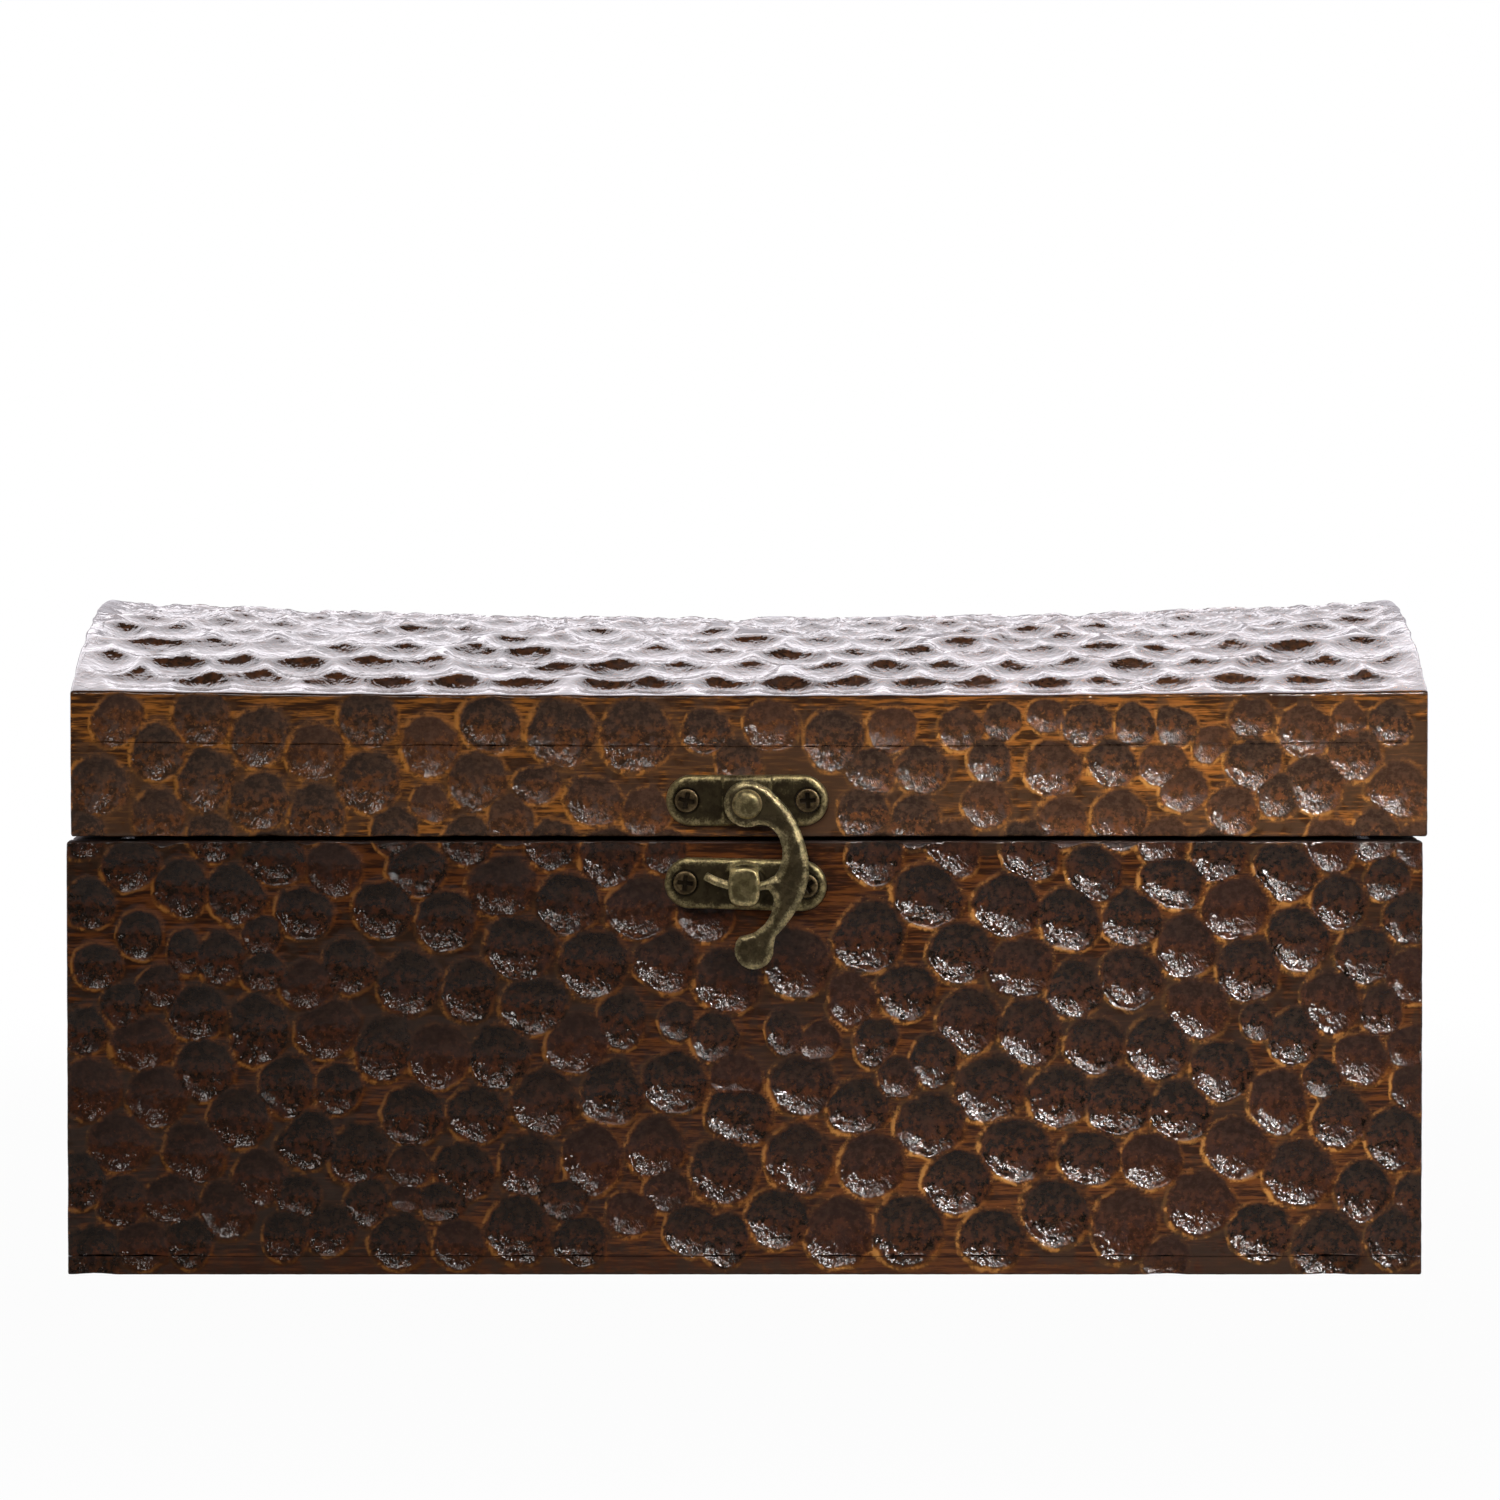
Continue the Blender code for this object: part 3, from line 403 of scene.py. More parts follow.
# Where the cuts of the front lie, on the body and the lid's front alike, because both were carved together:
# across, up, and radius, then how far the outline is oval and three-cornered, all in tenths of a millimetre.
FRONT_CUTS = (
    (620, 1158, 40, 3, 1, -1, 1), (-1294, 1153, 57, 1, 5, 1, 0), (-1209, 1082, 61, -2, 0, 1, 1),
    (-1119, 1152, 62, 3, -1, -1, 2), (-1000, 1114, 65, -2, 4, 0, 0), (-883, 1083, 64, 1, 1, 1, -1),
    (-776, 1147, 63, 5, 0, 0, 2), (-650, 1097, 66, 0, 0, 1, 0), (-525, 1139, 65, 3, -5, 0, 0),
    (-379, 1124, 75, 0, 0, 0, 0), (-223, 1118, 79, 0, 1, 0, -1), (-79, 1125, 51, 3, 0, 0, 1),
    (-11, 1057, 54, -2, -1, 1, 0), (55, 1139, 56, 2, 1, 1, 0), (183, 1108, 64, 0, 1, 1, 1),
    (262, 1046, 55, 1, -2, -1, -1), (303, 1130, 54, 3, 1, 0, 1), (366, 1048, 56, 1, 0, 0, -1),
    (447, 1129, 48, 1, 0, 1, 1), (506, 1063, 51, -1, 0, -1, 0), (531, 1147, 45, 0, 0, 0, 1),
    (637, 1050, 63, 3, 1, 1, 0), (706, 1142, 52, 3, 3, 1, 0), (758, 1061, 54, 0, 0, 0, 0),
    (803, 1139, 47, -4, -2, 0, -2), (862, 1057, 52, 2, 4, 1, 0), (887, 1138, 46, 2, -2, 1, 1),
    (962, 1101, 42, -1, 6, 1, 1), (1045, 1154, 49, 1, 0, 1, 0), (1051, 1057, 60, 3, 1, -1, 1),
    (1156, 1128, 58, 1, -1, 0, 0), (1244, 1149, 40, -1, 0, 1, 1), (1258, 1076, 56, 3, 2, 1, 2),
    (1330, 1142, 49, 0, -3, -1, -1), (-1333, 1014, 67, 4, 0, 1, -1), (-1208, 947, 61, -2, -1, -1, -1),
    (-1108, 1025, 66, -3, 2, 1, -1), (-998, 981, 64, 0, 4, -1, -1), (-883, 955, 65, -2, 1, 2, -1),
    (-774, 1022, 66, 0, 2, 0, -1), (-649, 976, 43, 0, -2, -1, 0), (-552, 1023, 65, -1, 2, 1, 2),
    (-482, 941, 54, -2, 0, 1, -1), (-428, 1015, 46, 7, -1, 0, 2), (-311, 982, 59, 4, -3, 1, 1),
    (-202, 955, 56, -3, 1, 1, 1), (244, 956, 55, 2, -1, 2, 1), (353, 940, 56, -4, 1, 0, 0),
    (501, 974, 51, 2, 0, 0, -1), (655, 939, 57, 0, -3, -1, 1), (776, 944, 64, -1, 0, 0, 1),
    (905, 1004, 53, 1, 2, 1, 0), (1006, 961, 55, 0, -2, 1, 0), (1098, 992, 49, -1, -1, 0, 0),
    (1177, 1018, 62, -2, -4, 0, 3), (1353, 1005, 67, 4, -4, -3, -1), (-1371, 915, 56, 0, 0, 0, -2),
    (-1266, 850, 60, 4, 2, 1, 1), (-1099, 906, 55, -1, 0, -1, 0), (-970, 866, 66, 4, -2, -1, -2),
    (-846, 839, 60, 1, -3, 0, -1), (-724, 920, 53, 1, 0, 0, 0), (-675, 841, 61, 4, 2, -2, 1),
    (-571, 901, 55, 0, 0, -1, 1), (-397, 893, 57, 2, 2, -1, -1), (-280, 867, 65, -1, 1, 0, 1),
    (-164, 877, 47, -2, 2, 1, 0), (269, 865, 61, 1, 2, -1, 1), (432, 884, 60, -2, -2, -2, 0),
    (588, 878, 63, -1, -6, 2, -3), (722, 834, 60, 1, -3, -1, 2), (864, 896, 54, 1, 2, -1, 0),
    (977, 870, 58, 1, -1, 1, 0), (1115, 834, 65, 2, -5, -1, 2), (1209, 891, 57, -1, -3, 1, 0),
    (1300, 910, 55, -2, 2, 1, 0), (1390, 890, 51, 1, 0, -1, 1), (-1350, 770, 54, -2, -2, 0, -1),
    (-1249, 706, 51, -3, 0, 0, 0), (-1160, 803, 62, -1, 0, -1, 0), (-1049, 786, 64, 0, -3, 4, -2),
    (-909, 750, 60, 3, -1, 1, 1), (-748, 758, 63, 2, -1, 0, -1), (-618, 735, 66, -1, 3, 1, -1),
    (-501, 804, 71, 4, 3, -1, 0), (-364, 771, 69, 0, 0, 1, 1), (-215, 760, 71, 2, 2, -1, -2),
    (-80, 755, 66, 0, 0, 0, 0), (376, 785, 73, 5, -4, 0, -2), (540, 764, 71, 3, -1, -2, 0),
    (671, 737, 67, -2, -3, 1, 0), (797, 739, 65, 1, -1, 0, -1), (883, 814, 62, 4, -3, -2, 1),
    (1013, 759, 70, 2, 0, -1, 0), (1226, 774, 61, -1, 0, 0, 0), (1327, 822, 50, 1, 3, 0, 0),
    (1375, 739, 58, 0, 0, -1, 0), (-1338, 640, 54, 2, 0, 0, 1), (-1158, 668, 44, -8, 0, 0, 0),
    (-1210, 600, 48, 4, 0, 0, 0), (-1083, 659, 57, -3, 1, 0, 0), (-996, 701, 43, 0, 0, 0, 0),
    (-993, 628, 45, 3, 2, -1, -1), (-818, 640, 60, -2, 0, 1, 0), (-695, 605, 70, -1, 1, -1, -1),
    (-465, 678, 73, 5, -1, 1, 1), (-312, 646, 74, 3, 2, 1, 2), (-162, 650, 67, 1, 1, -3, 0),
    (-35, 610, 71, 0, -2, 2, -2), (108, 648, 74, -1, -1, 1, -1), (257, 701, 77, -1, 3, -1, -3),
    (447, 667, 69, 1, 1, -1, 0), (571, 638, 68, 2, 3, 0, -1), (797, 615, 67, 0, -3, 3, 0),
    (911, 683, 67, -1, 0, -1, -2), (1040, 633, 68, 2, 0, -1, -1), (1143, 697, 68, -2, -5, 2, 1),
    (1279, 662, 62, 0, -1, -2, 1), (1382, 619, 59, 0, -1, 0, 0), (-1367, 505, 52, 2, -1, -1, 0),
    (-1283, 560, 48, 0, 1, 1, 1), (-1130, 545, 63, 3, 1, 0, 0), (-1004, 507, 72, -8, -2, 1, -1),
    (-904, 603, 56, 3, 2, 0, -1), (-859, 511, 68, 3, 4, -2, 1), (-570, 590, 64, -5, 2, 0, -1),
    (-433, 558, 68, 5, 2, -1, 1), (-255, 528, 58, -5, 0, 1, 0), (-140, 529, 44, -4, 1, 0, 0),
    (83, 503, 46, -3, -2, -1, 0), (219, 571, 55, -4, -1, 2, -1), (333, 587, 63, 1, 2, 1, 1),
    (465, 529, 68, -2, 1, -2, 0), (589, 506, 70, -3, -1, 0, 0), (681, 591, 62, -2, 2, 0, -2),
    (935, 554, 67, 0, -3, -1, 2), (1057, 525, 39, -2, -1, 0, 1), (1211, 567, 65, -3, -3, 0, 1),
    (1314, 548, 50, -3, 1, 0, 0), (-1354, 386, 68, 2, -1, 1, 0), (-1243, 480, 63, 8, 0, 0, 0),
    (-1114, 426, 66, 0, -1, 0, 1), (-943, 393, 64, -2, 2, -1, 1), (-839, 386, 54, -2, 0, 1, -1),
    (-744, 470, 68, -5, 6, -3, -3), (-630, 454, 68, -2, 1, 1, 0), (-508, 453, 68, -2, 0, 2, -1),
    (-346, 480, 66, 0, 5, -2, -3), (-146, 401, 70, 1, 0, 0, -1), (-62, 492, 53, 0, 0, 0, -1),
    (-18, 408, 55, 4, -1, 1, -1), (119, 392, 68, 3, 0, -1, 1), (157, 487, 44, 1, 1, 0, -2),
    (268, 485, 50, -3, 4, 1, 2), (316, 413, 45, -3, -1, 0, -1), (391, 444, 54, -4, 0, 1, 2),
    (507, 390, 75, 2, 0, 0, 1), (724, 477, 64, 2, 1, -1, 0), (851, 470, 69, 0, -3, 0, -1),
    (987, 427, 67, 1, -1, 0, 0), (1133, 493, 58, -4, 1, 1, -2), (1193, 411, 44, -1, -2, 2, 0),
    (1275, 450, 59, 0, -2, 0, 0), (1375, 475, 52, 2, 2, 0, 0), (1380, 388, 53, -2, 0, 0, 0),
    (-1216, 370, 65, 1, 0, 0, 0), (-1043, 325, 66, 1, 0, -1, 0), (-903, 280, 62, -1, 4, -2, -1),
    (-686, 331, 67, 2, 0, 0, -1), (-553, 332, 64, 2, 0, 0, -1), (-414, 359, 70, 0, 0, 0, -2),
    (-275, 379, 69, -2, 1, -2, -3), (-184, 266, 66, -2, 1, 2, -1), (-12, 333, 69, 4, -3, -1, 0),
    (234, 350, 65, 0, 2, 1, -4), (384, 311, 73, 4, 2, -1, 0), (648, 371, 67, 0, 2, -1, 1),
    (774, 357, 72, 0, 1, 0, -1), (901, 340, 65, 0, -1, 1, -1), (1103, 361, 65, -3, -2, -2, -1),
    (1231, 325, 63, -1, 4, -1, 0), (1350, 282, 68, 1, -3, -1, 0), (-1376, 196, 60, -3, 0, 0, 1),
    (-1290, 275, 66, 4, -2, 1, 0), (-1137, 255, 66, 2, -5, 1, 0), (-1002, 203, 60, 0, 0, 0, -1),
    (-797, 250, 66, -1, 3, 0, -1), (-691, 225, 47, 1, -2, 0, 0), (-579, 218, 64, 2, -2, 1, 1),
    (-446, 226, 66, -4, 0, 1, 0), (-314, 240, 70, -6, 0, 1, 0), (-162, 175, 49, 0, 2, 0, 0),
    (-44, 213, 71, 0, -4, 1, -1), (112, 243, 74, -1, -1, -1, 0), (263, 228, 71, 1, 2, 0, -1),
    (437, 195, 72, 1, 0, 0, -1), (561, 261, 75, 4, -1, -1, 1), (712, 242, 65, 4, -2, -1, -1),
    (840, 238, 63, 2, -2, 0, 0), (1015, 265, 70, 2, -1, 1, 0), (1147, 212, 76, 2, 0, 2, -2),
    (1282, 177, 64, -4, 2, 1, 0), (-1287, 155, 57, -2, 2, 1, -1), (-1244, 63, 56, 1, 0, 0, 1),
    (-1186, 159, 57, 1, 1, 0, 0), (-1149, 68, 52, -3, 0, 0, 1), (-1073, 135, 62, 0, -3, 1, 1),
    (-948, 80, 52, -2, -3, 1, 1), (-923, 164, 49, 1, 0, -1, -1), (-855, 92, 54, 2, 0, 1, 1),
    (-780, 152, 51, -2, 2, -2, 1), (-713, 69, 63, 1, 2, 0, -1), (-698, 158, 31, 3, 0, 0, 0),
    (-626, 151, 48, 2, 0, 1, 0), (-589, 65, 56, 0, 0, 0, 0), (-467, 96, 72, -4, -2, -1, -1),
    (-374, 157, 50, 3, -1, 0, 2), (-339, 71, 59, 3, 1, -2, 0), (-237, 127, 52, 0, 0, 0, 0),
    (-112, 94, 58, 0, 0, 0, 0), (-40, 75, 57, -3, 2, 0, -1), (68, 118, 66, 0, -1, 0, 0),
    (195, 91, 75, -4, 1, 0, -1), (336, 94, 79, -1, 0, 0, -1), (509, 78, 69, 0, 1, 0, 0),
    (643, 130, 75, 1, -1, 1, 0), (786, 104, 76, -4, 4, 2, 2), (942, 151, 72, 0, 1, 1, -1),
    (1066, 92, 66, 0, 0, 0, 0), (1205, 59, 76, 0, 0, 0, 0), (1348, 76, 65, 0, 1, 2, -1),
    (1394, 160, 56, -3, -1, 1, 1), (-1351, 42, 67, 0, 0, 0, 1), (875, 31, 52, -1, 0, -2, -1),
)


def lay_cuts(side_cuts):
    """All cuts as loose points. Each side of the box has its own page, SIDE_PAGE away from the others."""
    rng = np.random.default_rng(CUT_SEED)
    spots, sizes, outlines, sets = [], [], [], []
    for page, cuts in side_cuts:
        for cut, group in zip(cuts, spread_sets(cuts)):
            spot = [0.0, 0.0, 0.0]
            flat = [axis for axis in range(3) if not page[axis]]
            for axis, value in zip(flat, cut[:2]):
                spot[axis] = value
            spots.append([value + SIDE_PAGE * sign for value, sign in zip(spot, page)])
            deep = CUT_DEPTH * np.clip(cut[2] / CUT_RADIUS, 0.7, 1.15) * rng.uniform(0.85, 1.15)
            sizes.append((cut[2], deep, rng.random()))
            outlines.append(cut[3:7])
            sets.append(group)
    mesh = bpy.data.meshes.new("gouge_cuts")
    mesh.from_pydata(spots, [], [])
    mesh.attributes.new("size", "FLOAT_VECTOR", "POINT").data.foreach_set("vector", np.ravel(sizes))
    mesh.attributes.new("outline", "FLOAT_COLOR", "POINT").data.foreach_set("color", np.ravel(outlines))
    mesh.attributes.new("set", "INT", "POINT").data.foreach_set("value", sets)
    return bpy.data.objects.new("gouge_cuts", mesh)


def new_tree(name, takes, gives):
    """A Geometry Nodes tree, with the kinds and names of its inputs and outputs, and what its inputs give."""
    tree = bpy.data.node_groups.new(name, "GeometryNodeTree")
    for way, groups in (("OUTPUT", gives), ("INPUT", takes)):
        for kind, names in groups.items():
            for socket in names:
                tree.interface.new_socket(socket, in_out=way, socket_type="NodeSocket" + kind)
    return tree, {socket.name: Wire(tree, socket) for socket in put(tree, "NodeGroupInput").outputs}


def end_tree(tree, geometry, finish):
    """Ends a tree with its instances made real and its material set."""
    solid = get(tree, "GeometryNodeRealizeInstances", 0, {0: geometry})
    finished = get(tree, "GeometryNodeSetMaterial", 0, {"Geometry": solid, "Material": finish})
    put(tree, "NodeGroupOutput", {0: finished})
    return tree


def named(tree, name, kind="FLOAT"):
    return get(tree, "GeometryNodeInputNamedAttribute", "Attribute", {"Name": name}, data_type=kind)


ANSWERS = ("Depth", "Ring", "Chance", "Rise", "Slant")


def make_one_cut():
    """The group that answers, for a place on the wood, how deep the nearest cut of one set is there."""
    tree, given = new_tree("one_cut", {
        "Geometry": ["Cuts"], "Int": ["Set"],
        "Vector": ["Place", "Right", "Up"], "Float": ["Share", *ANSWERS],
    }, {"Float": ANSWERS})
    chosen = get(tree, "FunctionNodeCompare", 0, {2: named(tree, "set", "INT"), 3: given["Set"]},
                 data_type="INT", operation="EQUAL")
    cloud = get(tree, "GeometryNodeSeparateGeometry", 0, {"Geometry": given["Cuts"], "Selection": chosen})
    index = get(tree, "GeometryNodeSampleNearest", 0, {"Geometry": cloud, "Sample Position": given["Place"]})

    def read(value, kind="FLOAT_VECTOR"):
        return get(tree, "GeometryNodeSampleIndex", 0, {"Geometry": cloud, "Value": value, "Index": index},
                   data_type=kind)

    centre = read(get(tree, "GeometryNodeInputPosition"))
    radius, deep, chance = parts(read(named(tree, "size", "FLOAT_VECTOR")))
    lobes = parts(read(named(tree, "outline", "FLOAT_COLOR"), "FLOAT_COLOR"), "FunctionNodeSeparateColor")
    offset = given["Place"].arrow("SUBTRACT", {1: centre})
    across, up = (offset.arrow("DOT_PRODUCT", {1: given[way]}, "Value") for way in ("Right", "Up"))
    bearing = up.then("ARCTAN2", across)
    outline = radius
    for lobe, times, wave in ((0, 2, "COSINE"), (1, 2, "SINE"), (2, 3, "COSINE"), (3, 3, "SINE")):
        outline = (bearing * times).then(wave) * lobes[lobe] + outline
    ring = offset.arrow("LENGTH", output="Value") / outline
    rise = up / outline
    bowl = 1 - ring.then("POWER", rise * -0.35 + 2.25)
    bowl = bowl.then("SMOOTH_MAX", 0, rise * 0.14 + 0.26)
    depth = bowl * (deep * given["Share"])
    ring = ring + given["Share"].then("LESS_THAN", 0.08) * 3
    nearer = ring.then("LESS_THAN", given["Ring"])
    results = {"Depth": depth.then("MAXIMUM", given["Depth"]), "Ring": ring.then("MINIMUM", given["Ring"])}
    for name, value in (("Chance", chance), ("Rise", rise), ("Slant", across / outline)):
        sockets = {0: nearer, 2: given[name], 3: value}
        results[name] = get(tree, "ShaderNodeMix", 0, sockets, data_type="FLOAT")
    put(tree, "NodeGroupOutput", results)
    return tree


# How far from an edge of the box the cuts of each side fade, and the fineness and depth of small unevenness.
FRONT_FADE = 0.0060
SIDE_FADE = 0.0070
SIDE_FADE_UNDER_TOP = (-0.001, 0.0060)
TOP_FADE_FRONT = 0.0090
TOP_FADE_SIDE = 0.0080
TREMOR_FINENESS = 150.0
DENT_FINENESS = 430.0
DENT_SHARE = 0.26
LEAST_DENT = 0.00012


def make_carving(one_cut):
    """The tree that carves a board: it finds the cuts of the three nearest sides and pushes the wood in."""
    tree, given = new_tree("gouge_carving", {
        "Geometry": ["Geometry"], "Object": ["Cuts"],
        "Float": ["Middle", "Half Width", "Half Depth", "Reach", "Page", "Tremor"], "Material": ["Finish"],
    }, {"Geometry": ["Geometry"]})
    cuts = get(tree, "GeometryNodeObjectInfo", "Geometry", {"Object": given["Cuts"]})
    position = get(tree, "GeometryNodeInputPosition")
    x, y, z = parts(position)
    along_top, below_top, lean = (named(tree, name) for name in ("along_top", "below_top", "lean"))

    shake = noise(position, TREMOR_FINENESS, 2.0, 0.6, 1)
    tremor = shake.arrow("SUBTRACT", {1: (0.5, 0.5, 0.5)}).arrow("SCALE", {"Scale": given["Tremor"]})
    tremor_x, tremor_y, tremor_z = parts(tremor)
    shaken_x, shaken_y, shaken_z = x + tremor_x, y + tremor_y, z + tremor_z
    offset_x = x - given["Middle"]
    side_x, side_y = offset_x.then("SIGN"), y.then("SIGN")
    below_side = given["Half Width"] - offset_x.then("ABSOLUTE")
    below_front = given["Half Depth"] - y.then("ABSOLUTE")
    corner_front = below_side.ramp(0.0, FRONT_FADE)
    corner_side = below_front.ramp(0.0, SIDE_FADE) * below_top.ramp(*SIDE_FADE_UNDER_TOP)
    corner_top = below_front.ramp(0.0, TOP_FADE_FRONT) * below_side.ramp(0.0, TOP_FADE_SIDE)
    page = given["Page"]
    pages = (
        (corner_front, 0.25, below_front, (shaken_x, side_y * page, shaken_z), (1, 0, 0), (0, 0, 1)),
        (corner_side, 0.12, below_side, (side_x * page, shaken_y, shaken_z), (0, 1, 0), (0, 0, 1)),
        (corner_top, 0.05, below_top, (shaken_x, along_top + tremor_y, page), (1, 0, 0), (0, -1, 0)),
    )
    depths = []
    best = {"Ring": 9.0, "Chance": 0.5, "Rise": 0.0, "Slant": 0.0}
    for corner, least, below, place, right, up in pages:
        share = below.sums("SUBTRACT", 1, below / given["Reach"], clamp=True) * (corner * (1 - least) + least)
        place = join(tree, *place)
        best["Depth"] = 0.0
        for group in range(CUT_SETS):
            step = put(tree, "GeometryNodeGroup", {"Cuts": cuts, "Set": group, "Place": place, "Right": right,
                                                   "Up": up, "Share": share, **best}, node_tree=one_cut)
            best = {name: Wire(tree, step.outputs[name]) for name in ANSWERS}
        depths.append(best["Depth"])

    front, side, top = depths
    push = join(tree, side_x * side * -1, side_y * front * -1 - top * lean.then("SINE"),
                top * lean.then("COSINE") * -1)
    whole = front.then("MAXIMUM", side.then("MAXIMUM", top))
    dent = (noise(position, DENT_FINENESS, 2.0, 0.6) - 0.15) * (whole * DENT_SHARE + LEAST_DENT)
    push = push.arrow("ADD", {1: get(tree, "GeometryNodeInputNormal").arrow("SCALE", {"Scale": dent * -1})})
    carved = given["Geometry"]
    for name in ("Ring", "Chance", "Rise", "Slant"):
        sockets = {"Geometry": carved, "Name": name.lower(), "Value": best[name]}
        carved = get(tree, "GeometryNodeStoreNamedAttribute", 0, sockets, data_type="FLOAT", domain="POINT")
    carved = get(tree, "GeometryNodeSetPosition", 0, {"Geometry": carved, "Offset": push})
    return end_tree(tree, carved, given["Finish"])


def baked(blank):
    """The mesh that an object's modifiers make. The object is removed."""
    blank.update_tag()
    bpy.context.view_layer.update()
    made = bpy.data.meshes.new_from_object(blank.evaluated_get(bpy.context.evaluated_depsgraph_get()))
    bpy.data.objects.remove(blank)
    return made


def new_object(name, mesh):
    made = bpy.data.objects.new(name, mesh)
    scene.collection.objects.link(made)
    return made


def grown(mesh, tree, values):
    """The mesh that a Geometry Nodes tree makes of another one."""
    blank = new_object("blank", mesh)
    step = blank.modifiers.new("tree", "NODES")
    step.node_group = tree
    for item in tree.interface.items_tree:
        if item.in_out == "INPUT" and item.name in values:
            step[item.identifier] = values[item.name]
    return baked(blank)


def add_piece(mesh, name, body, replaced, sharp_angle=None):
    """Puts one made piece in the place of its plain solids. Edges sharper than sharp_angle stay crisp."""
    mesh.name = name
    if sharp_angle:
        mesh.shade_smooth()
        mesh.set_sharp_from_angle(angle=math.radians(sharp_angle))
    piece = new_object(name, mesh)
    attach(piece, body)
    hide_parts(*replaced)


def carve_board(mesh, name, body, middle, finish, tops=None):
    """Carves one board, finishes it, and puts it in the place of its plain solid."""
    points = np.array([vertex.co for vertex in mesh.vertices])
    level = np.zeros(len(points))
    under = tops(points) if tops else (level + 1, level, level)
    spares = dict(zip(("below_top", "along_top", "lean"), under))
    for spare, values in spares.items():
        keep_number(mesh, spare, values)
    made = grown(mesh, carving, {
        "Cuts": gouge_cuts, "Middle": middle, "Half Width": half_width, "Half Depth": half_depth,
        "Reach": CUT_REACH, "Page": SIDE_PAGE, "Tremor": CUT_TREMOR, "Finish": finish})
    for spare in spares:
        made.attributes.remove(made.attributes[spare])
    add_piece(made, "carved_" + name, body, (name,), 52)


# RIM_GLINT is the colour of the painted glints on the rims, and SHADE the colour of painted shade.
RIM_GLINT = tint(196, 142, 72)
SHADE = tint(40, 24, 19)
RIM_START = (0.0884, 0.0892)
RIM_END = (0.0904, 0.0902)
TOP_START, TOP_END = 0.117, 0.123


